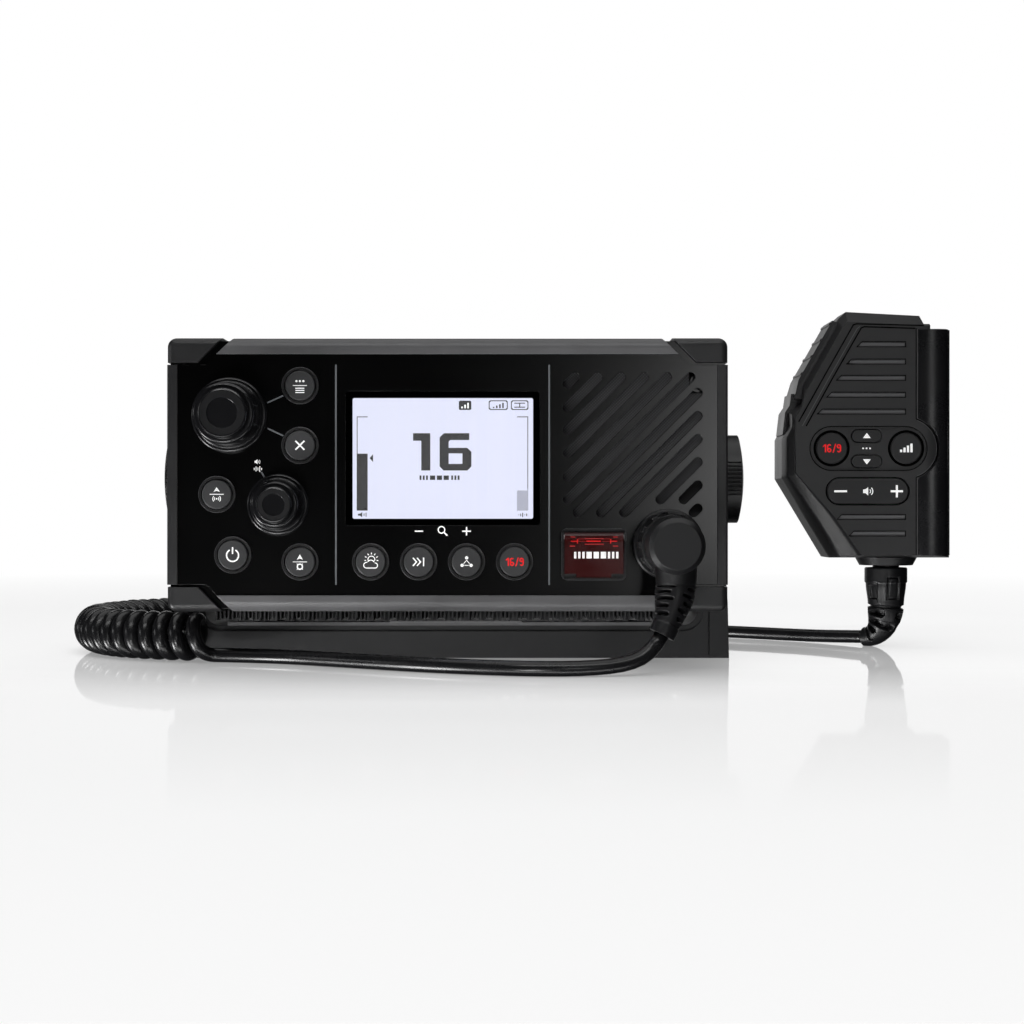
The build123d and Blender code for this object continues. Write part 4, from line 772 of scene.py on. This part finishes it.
# the glow of these inks is painted light: the prints on keys, panel, cover and microphone shine though
# nothing lights them from within
WHITE = ink("ink_white", (0.86, 0.86, 0.85), 0.55)
RED = ink("ink_red", (0.64, 0.008, 0.010), 0.55)
GREY = ink("ink_grey", (0.13, 0.14, 0.15), 0.06)
DARK = ink("lcd_dots", (0.004, 0.004, 0.006), 0.0)
HALF = ink("lcd_half_dots", (0.15, 0.15, 0.18), 0.12)
# the cover streak inks are painted light: red streaks on the distress cover that glow though nothing lights
# them
STREAK = ink("cover_streak", (0.62, 0.010, 0.010), 0.45)
DIM = ink("cover_streak_dim", (0.30, 0.009, 0.009), 0.3)


# --- printed marks: outlines in mm, laid on the surface that carries them
class Print:
    """Flat marks in one ink. Places are (x, z) in mm from a centre."""

    def __init__(self, at=(0.0, 0.0)):
        self.at = at
        self.verts, self.faces = [], []

    def put(self, x, z):
        self.verts.append((self.at[0] + x, self.at[1] + z))

    def shape(self, outline, *holes):
        loops = [[Vector((x, z, 0)) for x, z in loop] for loop in (outline, *holes)]
        flat = [p for loop in loops for p in loop]
        start = len(self.verts)
        for p in flat:
            self.put(p.x, p.y)
        for face in tessellate_polygon(loops):
            self.faces.append(tuple(start + i for i in face))

    def bar(self, x0, z0, x1, z1):
        self.shape([(x0, z0), (x1, z0), (x1, z1), (x0, z1)])

    def arc(self, x, z, r, w, start=0, end=360, steps=40):
        turns = [radians(start + (end - start) * i / steps) for i in range(steps + 1)]
        first = len(self.verts)
        for a in turns:
            for rr in (r + w / 2, r - w / 2):
                self.put(x + rr * cos(a), z + rr * sin(a))
        self.faces += [(first + 2 * i, first + 2 * i + 1, first + 2 * i + 3, first + 2 * i + 2)
                       for i in range(steps)]

    def dot(self, x, z, r, steps=24):
        self.shape([(x + r * cos(2 * pi * i / steps), z + r * sin(2 * pi * i / steps))
                    for i in range(steps)])

    def line(self, points, w, closed=False):
        """A stroke of width w with mitred corners."""
        pts = [Vector(p) for p in points]
        count = len(pts)
        first = len(self.verts)
        for i, p in enumerate(pts):
            before = pts[i - 1] if i or closed else None
            after = pts[(i + 1) % count] if i < count - 1 or closed else None
            dirs = [(p - before).normalized()] if before is not None else []
            dirs += [(after - p).normalized()] if after is not None else []
            ahead = sum(dirs, Vector((0, 0))).normalized()
            across = Vector((-ahead.y, ahead.x))
            reach = w / 2 / max(0.4, abs(across.dot(Vector((-dirs[0].y, dirs[0].x)))))
            for side in (reach, -reach):
                q = p + across * side
                self.put(q.x, q.y)
        for i in range(count if closed else count - 1):
            a, b = first + 2 * i, first + 2 * ((i + 1) % count)
            self.faces.append((a, a + 1, b + 1, b))

    def make(self, name, carrier, body, paint, slot, lift=0.03, y=None):
        """Lays the marks on the front of the carrier node, or at a given y, as one thin piece."""
        surface = BVHTree.FromPolygons([v.co for v in nodes[carrier].data.vertices],
                                       [tuple(p.vertices) for p in nodes[carrier].data.polygons])
        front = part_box(carrier)[0].y
        verts = []
        for x, z in self.verts:
            hit = surface.ray_cast(Vector((mm(x), front - 0.01, mm(z))), Vector((0, 1, 0)))[0]
            place = mm(y) if y is not None else (hit.y if hit else front)
            verts.append((mm(x), place - mm(lift), mm(z)))
        obj = mesh_object(name, verts, self.faces)
        obj.data.materials.append(paint)
        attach(obj, body)
        return obj


def digit(marks, which, x, z, h, w):
    """A plain sans numeral of height h, stroke w, its lower left corner at (x, z)."""
    r = h * 0.27
    if which == "1":
        marks.shape([(x, z + h * 0.74), (x + h * 0.24, z + h), (x + h * 0.24 + w, z + h),
                     (x + h * 0.24 + w, z), (x + h * 0.24, z), (x + h * 0.24, z + h * 0.76),
                     (x, z + h * 0.62)])
    elif which == "/":
        marks.shape([(x, z - h * 0.04), (x + w * 0.9, z - h * 0.04), (x + h * 0.3 + w * 0.9, z + h * 1.04),
                     (x + h * 0.3, z + h * 1.04)])
    else:
        q = r - w / 2
        cx, low, high = x + r, z + r, z + h - r
        tail = [(cx + q * cos(radians(d)), high + q * sin(radians(d))) for d in range(30, 181, 15)]
        tail.append((cx - q, low))
        if which == "9":
            tail = [(2 * cx - u, 2 * z + h - v) for u, v in tail]
        marks.arc(cx, low if which == "6" else high, q, w, 0, 360, 32)
        marks.line(tail, w)


def sixteen_nine(marks, h, w):
    """The plain numbers 16/9, centred."""
    x = -h * 1.08
    for which, step in (("1", 0.50), ("6", 0.66), ("/", 0.50), ("9", 0.6)):
        digit(marks, which, x, -h / 2, h, w)
        x += step * h


def on_piece(marks, name, piece, paint, slot):
    marks.make(name, piece, piece, paint, slot)


def speaker_icon(marks, x, z, s, waves=2):
    marks.shape([(x - s, z - s * 0.35), (x - s * 0.55, z - s * 0.35), (x - s * 0.05, z - s * 0.8),
                 (x - s * 0.05, z + s * 0.8), (x - s * 0.55, z + s * 0.35), (x - s, z + s * 0.35)])
    for i in range(waves):
        marks.arc(x - s * 0.05, z, s * (0.45 + 0.42 * i), s * 0.17, -48, 48, 12)


def key_print(key):
    x, z = KEYS[key]
    marks = Print((x, z + PIVOT_Z))
    marks.key = key
    return marks


def finish_key(marks, paint=WHITE):
    on_piece(marks, "mark_" + marks.key, "key_" + marks.key, paint, "soft_keys")


p = key_print("menu")
for i in (-1, 0, 1):
    p.dot(i * 1.15, 1.45, 0.36)
p.bar(-2.35, -0.12, 2.35, 0.12)
for i in range(3):
    p.bar(-1.5, -1.05 - i * 0.72, 1.5, -0.75 - i * 0.72)
finish_key(p)

p = key_print("cancel")
p.line([(-1.5, -1.5), (1.5, 1.5)], 0.5)
p.line([(-1.5, 1.5), (-0.18, 0.18)], 0.5)
p.line([(0.18, -0.18), (1.5, -1.5)], 0.5)
finish_key(p)

p = key_print("ais")
p.shape([(0, 2.35), (1.05, 0.8), (0, 1.15), (-1.05, 0.8)])
p.bar(-2.35, -0.12, 2.35, 0.12)
p.dot(0, -1.5, 0.28)
for side in (0, 180):
    for r in (0.75, 1.3):
        p.arc(0, -1.5, r, 0.24, side - 42, side + 42, 10)
finish_key(p)

p = key_print("power")
p.arc(0, -0.15, 2.0, 0.46, 118, 422, 44)
p.bar(-0.24, 0.3, 0.24, 2.6)
finish_key(p)

p = key_print("nav")
p.shape([(0, 2.5), (1.0, 0.7), (0, 1.15), (-1.0, 0.7)])
p.bar(-2.35, -0.12, 2.35, 0.12)
p.arc(0, -1.6, 0.85, 0.42, 0, 360, 28)
for i in range(4):
    a = radians(45 + 90 * i)
    p.line([(1.1 * cos(a), 1.1 * sin(a) - 1.6), (1.4 * cos(a), 1.4 * sin(a) - 1.6)], 0.26)
finish_key(p)

p = key_print("weather")
p.arc(0.25, 0.75, 1.15, 0.3, -20, 196, 24)
for i in range(7):
    a = radians(-8 + 32.5 * i)
    p.line([(0.25 + 1.75 * cos(a), 0.75 + 1.75 * sin(a)), (0.25 + 2.35 * cos(a), 0.75 + 2.35 * sin(a))], 0.3)
p.arc(-1.35, -1.1, 0.95, 0.32, 75, 270, 20)
p.arc(0.1, -0.55, 1.15, 0.32, 25, 150, 18)
p.arc(1.45, -1.2, 0.85, 0.32, -90, 95, 18)
p.bar(-1.35, -2.21, 1.45, -1.89)
finish_key(p)

p = key_print("scan")
for x in (-1.9, -0.55):
    p.line([(x, 1.35), (x + 1.2, 0), (x, -1.35)], 0.42)
p.bar(1.45, -1.45, 1.87, 1.45)
finish_key(p)

p = key_print("tri")
for x, z in ((0, 1.35), (-1.5, -1.15), (1.5, -1.15)):
    p.dot(x, z, 0.55)
p.line([(0, 0.55), (-1.0, -0.6)], 0.22)
p.line([(0.0, 0.55), (1.0, -0.6)], 0.22)
p.line([(-0.75, -1.15), (0.75, -1.15)], 0.22)
finish_key(p)

p = key_print("channel16")
sixteen_nine(p, 2.75, 0.46)
finish_key(p, RED)

# printed lines and signs on the glossy panel
panel = Print((0, PIVOT_Z))
for x in (-37.2, 33.9):
    panel.bar(x - 0.28, -36.7, x + 0.28, 36.7)
panel.line([(-60.1, 24.0), (-54.75, 26.4)], 0.5)
panel.line([(-60.1, 15.5), (-54.75, 13.0)], 0.5)
panel.line([(-62.1, 0.9), (-60.7, -1.3)], 0.5)
panel.make("panel_lines", "front_panel", "radio", GREY, "panel", y=PANEL_Y)
signs = Print((0, PIVOT_Z))
signs.bar(-10.9, -19.02, -8.1, -18.58)
signs.bar(4.9, -19.02, 7.8, -18.58)
signs.bar(6.13, -18.58, 6.57, -17.4)
signs.bar(6.13, -20.2, 6.57, -19.02)
signs.arc(-2.0, -18.35, 1.1, 0.36, 0, 360, 28)
signs.line([(-1.15, -19.2), (-0.05, -20.3)], 0.5)
speaker_icon(signs, -63.3, 4.35, 1.0)
for i, h in enumerate((0.35, 0.8, 0.5, 0.95, 0.35)):
    signs.bar(-64.55 + i * 0.62, 1.95 - h, -64.3 + i * 0.62, 1.95 + h)
signs.make("panel_signs", "front_panel", "radio", WHITE, "panel", y=PANEL_Y)

# the display's picture, in dots of its own from its upper left corner
SCREEN_AT, DOT = (-1.6, 5.5), 0.3351
SCREEN_Y = -73.8


def dots(u, v):
    return (u - 90.3) * DOT, (60.0 - v) * DOT


def dot_shape(marks, outline, *holes):
    marks.shape(*[[dots(*q) for q in loop] for loop in (outline, *holes)])


def dot_bar(marks, u0, v0, u1, v1):
    dot_shape(marks, [(u0, v0), (u1, v0), (u1, v1), (u0, v1)])


def dot_frame(marks, u0, v0, u1, v1, w=0.9, c=1.3):
    def loop(d):
        a, b, e, f = u0 + d, v0 + d, u1 - d, v1 - d
        return [(a + c, b), (e - c, b), (e, b + c), (e, f - c), (e - c, f), (a + c, f), (a, f - c),
                (a, b + c)]
    dot_shape(marks, loop(0), loop(w))


def on_screen(marks, name, paint, lift=0.08):
    marks.make(name, "lcd_module", "radio", paint, "lcd", lift=lift, y=SCREEN_Y)


at = (SCREEN_AT[0], SCREEN_AT[1] + PIVOT_Z)
glow = Print(at)
glow.bar(-30.9, -20.9, 30.9, 20.9)
on_screen(glow, "screen_glow", screen_finish(), 0.05)
p = Print(at)
dot_shape(p, [(60.5, 34.8), (77.7, 34.8), (77.7, 72), (68.7, 72), (68.7, 42.3), (60.5, 42.3)])
dot_shape(p, [(91.5, 34.8), (116.6, 34.8), (116.6, 41.6), (97.5, 41.6), (96, 43.2), (96, 49.4), (114.5, 49.4),
              (118.7, 53.4), (118.7, 68), (114.7, 72), (91, 72), (87, 68), (87, 39)],
          [(96, 54.9), (109.8, 54.9), (109.8, 65.4), (96, 65.4)])
dot_shape(p, [(107.2, 2.4), (117.6, 2.4), (118.6, 3.4), (118.6, 10.6), (117.6, 11.6), (107.2, 11.6),
              (106.2, 10.6), (106.2, 3.4)])
dot_frame(p, 136.0, 2.0, 155.0, 11.6)
dot_frame(p, 158.2, 2.0, 175.6, 11.6)
dot_bar(p, 4.3, 55.2, 15.2, 112.0)
dot_shape(p, [(17.2, 59.6), (20.6, 55.8), (20.6, 63.6)])
for i, (u, long) in enumerate(((67, 0), (70.2, 0), (73.4, 0), (77.4, 1), (84.2, 1), (91, 1), (98.6, 0),
                               (101.8, 0), (105, 0))):
    dot_bar(p, u, 77.0, u + (5.2 if long else 1.9), 81.4)
for i in range(4):
    dot_bar(p, 140.2 + 3.1 * i, 8.6 - 1.35 * i, 141.7 + 3.1 * i, 9.8)
dot_bar(p, 161.5, 4.4, 172.3, 5.3)
dot_bar(p, 161.5, 8.4, 172.3, 9.3)
dot_bar(p, 166.4, 5.3, 167.4, 8.4)
dot_shape(p, [(5.5, 115.2), (7.5, 115.2), (9.8, 113.6), (9.8, 118.6), (7.5, 117.0), (5.5, 117.0)])
dot_bar(p, 11.2, 114.9, 12.0, 117.3)
dot_bar(p, 13.2, 114.0, 14.0, 118.2)
for i in range(5):
    dot_bar(p, 165.4 + 2.0 * i, 116.0 - (i % 3) * 0.9, 166.3 + 2.0 * i, 116.6 + (i % 3) * 0.9)
on_screen(p, "screen_dots", DARK)
p = Print(at)
for i in range(3):
    dot_bar(p, 108.6 + 3.0 * i, 8.2 - 1.9 * i, 110.2 + 3.0 * i, 10.0)
on_screen(p, "screen_high", WHITE, 0.10)
p = Print(at)
for u0, u1 in ((4.3, 15.2), (164.3, 175.4)):
    dot_bar(p, u0, 18.0, u1, 19.0)
dot_bar(p, 4.3, 19.0, 5.2, 55.2)
dot_bar(p, 174.5, 19.0, 175.4, 91.0)
on_screen(p, "screen_corners", HALF)
p = Print(at)
for i in range(12):
    for j in range(20):
        if (i + j) % 2:
            dot_bar(p, 164.2 + 0.94 * i, 92.0 + 1.0 * j, 165.1 + 0.94 * i, 92.96 + 1.0 * j)
on_screen(p, "screen_squelch", DARK)

# the distress cover's glowing red streaks, which are painted light, and its plain sign
cover_at = (48.7, -26.5 + PIVOT_Z)
p = Print(cover_at)
p.bar(-2.5, 4.2, 2.3, 4.62)
for side in (-1, 1):
    p.bar(min(side * 7.7, side * 5.6), 4.24, max(side * 7.7, side * 5.6), 4.56)
    p.bar(side * 5.5 - 0.16, 3.7, side * 5.5 + 0.16, 5.1)
on_piece(p, "cover_streaks", "distress_cover", STREAK, "distress")
p = Print(cover_at)
p.bar(-3.1, 5.1, 3.2, 5.45)
p.bar(-3.1, 3.2, 3.2, 3.6)
for side in (-1, 1):
    for near, away, low, high in ((6.3, 7.8, 5.65, 6.0), (6.3, 8.0, 2.55, 3.0), (2.8, 5.3, 4.3, 4.48),
                                  (3.3, 5.3, 5.1, 5.25)):
        left, right = sorted((side * near, side * away))
        p.bar(left, low, right, high)
on_piece(p, "cover_streaks_dim", "distress_cover", DIM, "distress")
p = Print(cover_at)
x = -6.6
for long in (0, 0, 0, 1, 1, 1, 0, 0, 0):
    wide_by = 1.75 if long else 0.75
    p.bar(x, -1.3, x + wide_by, 0.9)
    x += wide_by + 0.62
on_piece(p, "cover_sign", "distress_cover", WHITE, "distress")

# the microphone's keys
p = Print((HAND[0] - 23.7, HAND[1] + 41.1))
sixteen_nine(p, 3.1, 0.5)
on_piece(p, "mark_hand_16", "handset_key_16", RED, "handset_keys")
p = Print((HAND[0] + 4.2, HAND[1] + 41.1))
for i in range(4):
    p.bar(-2.4 + 1.3 * i, -1.5, -1.6 + 1.3 * i, -0.5 + 0.75 * i)
on_piece(p, "mark_hand_power", "handset_key_power", WHITE, "handset_keys")
for way, key, z in ((1, "up", 45.7), (-1, "down", 36.2)):
    p = Print((HAND[0] - 10.6, HAND[1] + z))
    p.shape([(-1.45, -0.8 * way), (1.45, -0.8 * way), (0, 1.15 * way)])
    on_piece(p, "mark_hand_" + key, "handset_key_" + key, WHITE, "handset_keys")
p = Print((HAND[0] - 10.4, HAND[1] + 25.0))
p.bar(-12.6, -0.36, -7.8, 0.36)
p.bar(8.5, -0.38, 13.1, 0.38)
p.bar(10.42, 0.38, 11.18, 2.3)
p.bar(10.42, -2.3, 11.18, -0.38)
speaker_icon(p, 0.2, 0, 2.0)
on_piece(p, "mark_rocker", "handset_volume_rocker", WHITE, "handset_keys")
p = Print((HAND[0] - 10.6, HAND[1] + 41.1))
for i in (-1, 0, 1):
    p.dot(i * 1.3, 0, 0.34)
p.make("mark_hand_dots", "handset_front_shell", "handset", WHITE, "handset")


def on_shell(marks, name, paint, y):
    marks.make(name, "handset_front_shell", "handset", paint, "handset", y=y)


# seams and slot floors of the microphone's face
HAND_SLOTS_AT = ((-14.3, 80.0), (-18.2, 73.5), (-22.0, 67.4), (-25.6, 61.1), (-29.1, 54.8), (-21.8, 15.4),
                 (-17.3, 9.2))
p = Print(HAND)
p.line([(7.7, 86.0), (7.7, 52.0)], 0.38)
p.arc(4.3, 41.1, 11.4, 0.38, -72.5, 72.5, 48)
p.line([(7.7, 30.2), (7.7, 1.2)], 0.38)
p.line([(10.6, 87.0), (-14.6, 87.6), (-15.8, 87.2), (-26.0, 69.2), (-36.2, 51.0)], 0.5)
p.line([(7.4, 85.9), (-11.6, 86.5), (-12.8, 86.1), (-23.6, 67.2), (-33.4, 49.4)], 0.5)
for x, z in HAND_SLOTS_AT:
    p.line([(x - 0.1, z - 0.95), (3.75, z - 0.95), (3.75, z + 0.95), (x + 1.75, z + 0.95)], 0.26, closed=True)
for cx, cz, half, r in ((-10.1, 41.0, 13.7, 8.25), (-10.4, 25.0, 10.45, 5.15)):
    ends = [(cx + side * half + r * cos(radians(a)), cz + r * sin(radians(a)))
            for side, first in ((1, -90), (-1, 90)) for a in range(first, first + 181, 12)]
    p.line(ends, 0.3, closed=True)
on_shell(p, "hand_seams", SEAM, -5.5)
# lighter lines beside the seams: a painted highlight on the ridge edges
p = Print(HAND)
p.line([(8.1, 85.6), (8.1, 52.2)], 0.2)
p.arc(4.3, 41.1, 11.0, 0.2, -70, 70, 48)
p.line([(8.1, 30.0), (8.1, 1.4)], 0.2)
p.line([(-13.4, 86.6), (-14.4, 85.8), (-24.8, 67.6), (-34.9, 49.4)], 0.3)
on_shell(p, "hand_seam_edges", SEAM_HIGHLIGHT, -5.5)
p = Print(HAND)
for x in (-23.7, 4.2):
    p.arc(x, 41.1, 6.35, 0.9, 0, 360, 48)
on_shell(p, "hand_key_gaps", SEAM, -4.3)
p = Print(HAND)
for x, z in HAND_SLOTS_AT:
    p.shape([(x + 0.3, z - 0.85), (3.6, z - 0.85), (3.6, z + 0.55), (x + 1.7, z + 0.55)])
on_shell(p, "hand_slot_floors", SLOT_FLOOR, -4.9)

# --- stage: floor, surroundings and light
MIRRORED_WHITE, MIRRORED_FROM = 0.3, 0.85  # white world in the object's gloss, towards +Y only
FLOOR_GLOW = 0.42  # seen by the camera alone, as the floor is hidden from other rays
world = bpy.data.worlds.new("studio")
bpy.context.scene.world = world
world.use_nodes = True
tree = world.node_tree
path = node(tree, "LightPath").outputs
heading = component(tree, node(tree, "TexCoord").outputs["Generated"], "Y")
behind = times(tree, path["Is Glossy Ray"], calc(tree, "GREATER_THAN", heading, MIRRORED_FROM))
unlit = calc(tree, "MAXIMUM", path["Is Camera Ray"], path["Is Transmission Ray"])
shown = calc(tree, "MAXIMUM", unlit, times(tree, behind, MIRRORED_WHITE))
bright = node(tree, "Background", {"Color": (1, 1, 1, 1), "Strength": 1.0})
dark = node(tree, "Background", {"Color": (0.9, 0.95, 1.0, 1), "Strength": 0.008})
mix = node(tree, "MixShader", {0: shown, 1: dark.outputs[0], 2: bright.outputs[0]})
tree.links.new(mix.outputs[0], tree.nodes["World Output"].inputs["Surface"])

floor = mesh_object("floor", [mm(-4000, -480, -0.1), mm(4000, -480, -0.1), mm(4000, 5000, -0.1),
                              mm(-4000, 5000, -0.1)], [(0, 1, 2, 3)])
made, tree, surface, here = material("floor_white", (0.95, 0.95, 0.95), 0.9)
surface.inputs["Emission Color"].default_value = (1, 1, 1, 1)
surface.inputs["Emission Strength"].default_value = FLOOR_GLOW
away = node(tree, "VectorMath", {0: here, 1: (0.0, 0.02, 0.0)}, operation="DISTANCE").outputs["Value"]
fade = span(tree, away, 0.0, 1.0, 0.34, 0.85)
depth, across = component(tree, here, "Y"), component(tree, here, "X")
close = times(tree, span(tree, depth, 0.0, 0.40, -0.185, -0.08), span(tree, across, 0.5, 1.0, -0.16, -0.04))
polish = calc(tree, "ADD", span(tree, depth, 0.0, 0.10, -0.36, -0.22), close)
mirror = node(tree, "BsdfGlossy", {"Color": (1, 1, 1, 1), "Roughness": 0.035})
blank = node(tree, "Emission", {"Color": (1, 1, 1, 1), "Strength": 1.0})
near = node(tree, "MixShader", {0: polish, 1: surface.outputs[0], 2: mirror.outputs[0]})
far = node(tree, "MixShader", {0: fade, 1: near.outputs[0], 2: blank.outputs[0]})
tree.links.new(far.outputs[0], tree.nodes["Material Output"].inputs["Surface"])
floor.data.materials.append(made)
floor.visible_diffuse = floor.visible_glossy = floor.visible_shadow = floor.visible_transmission = False
backdrop = mesh_object("backdrop", [mm(-900, 1500, -0.1), mm(900, 1500, -0.1), mm(900, 1500, 520),
                                    mm(-900, 1500, 520)], [(0, 1, 2, 3)])
made, tree, surface, here = material("backdrop_white", (0.9, 0.9, 0.9), 0.9)
blank = node(tree, "Emission", {"Color": (1, 1, 1, 1), "Strength": 1.0})
tree.links.new(blank.outputs[0], tree.nodes["Material Output"].inputs["Surface"])
backdrop.data.materials.append(made)


def softbox(name, place, target, size, radiance):
    """An area light whose face has that brightness."""
    data = bpy.data.lights.new(name, "AREA")
    data.shape = "RECTANGLE"
    data.size, data.size_y = mm(size[0]), mm(size[1])
    data.energy = radiance * pi * data.size * data.size_y
    lamp = add(name, data)
    lamp.location = mm(*place)
    lamp.rotation_euler = (mm(*target) - lamp.location).to_track_quat("-Z", "Z").to_euler()
    lamp.visible_camera = False
    return lamp


softbox("overhead", (0, 50, 1500), (0, 0, 0), (2200, 1500), 1.0)
softbox("front_high", (60, -1150, 1350), (60, -40, 60), (1600, 280), 5.2)
softbox("front_right", (430, -2000, 135), (60, -70, 60), (300, 380), 3.9)
softbox("left_low", (-950, -480, -720), (-20, -50, 50), (420, 340), 26.0)
softbox("front_low", (0, -620, -640), (0, -76, 24), (1500, 110), 6.0)
softbox("left_side", (-1200, -300, 200), (-60, -70, 50), (120, 500), 4.0)
softbox("flank", (-185, -765, -290), (130, 0, 50), (190, 150), 16.0)
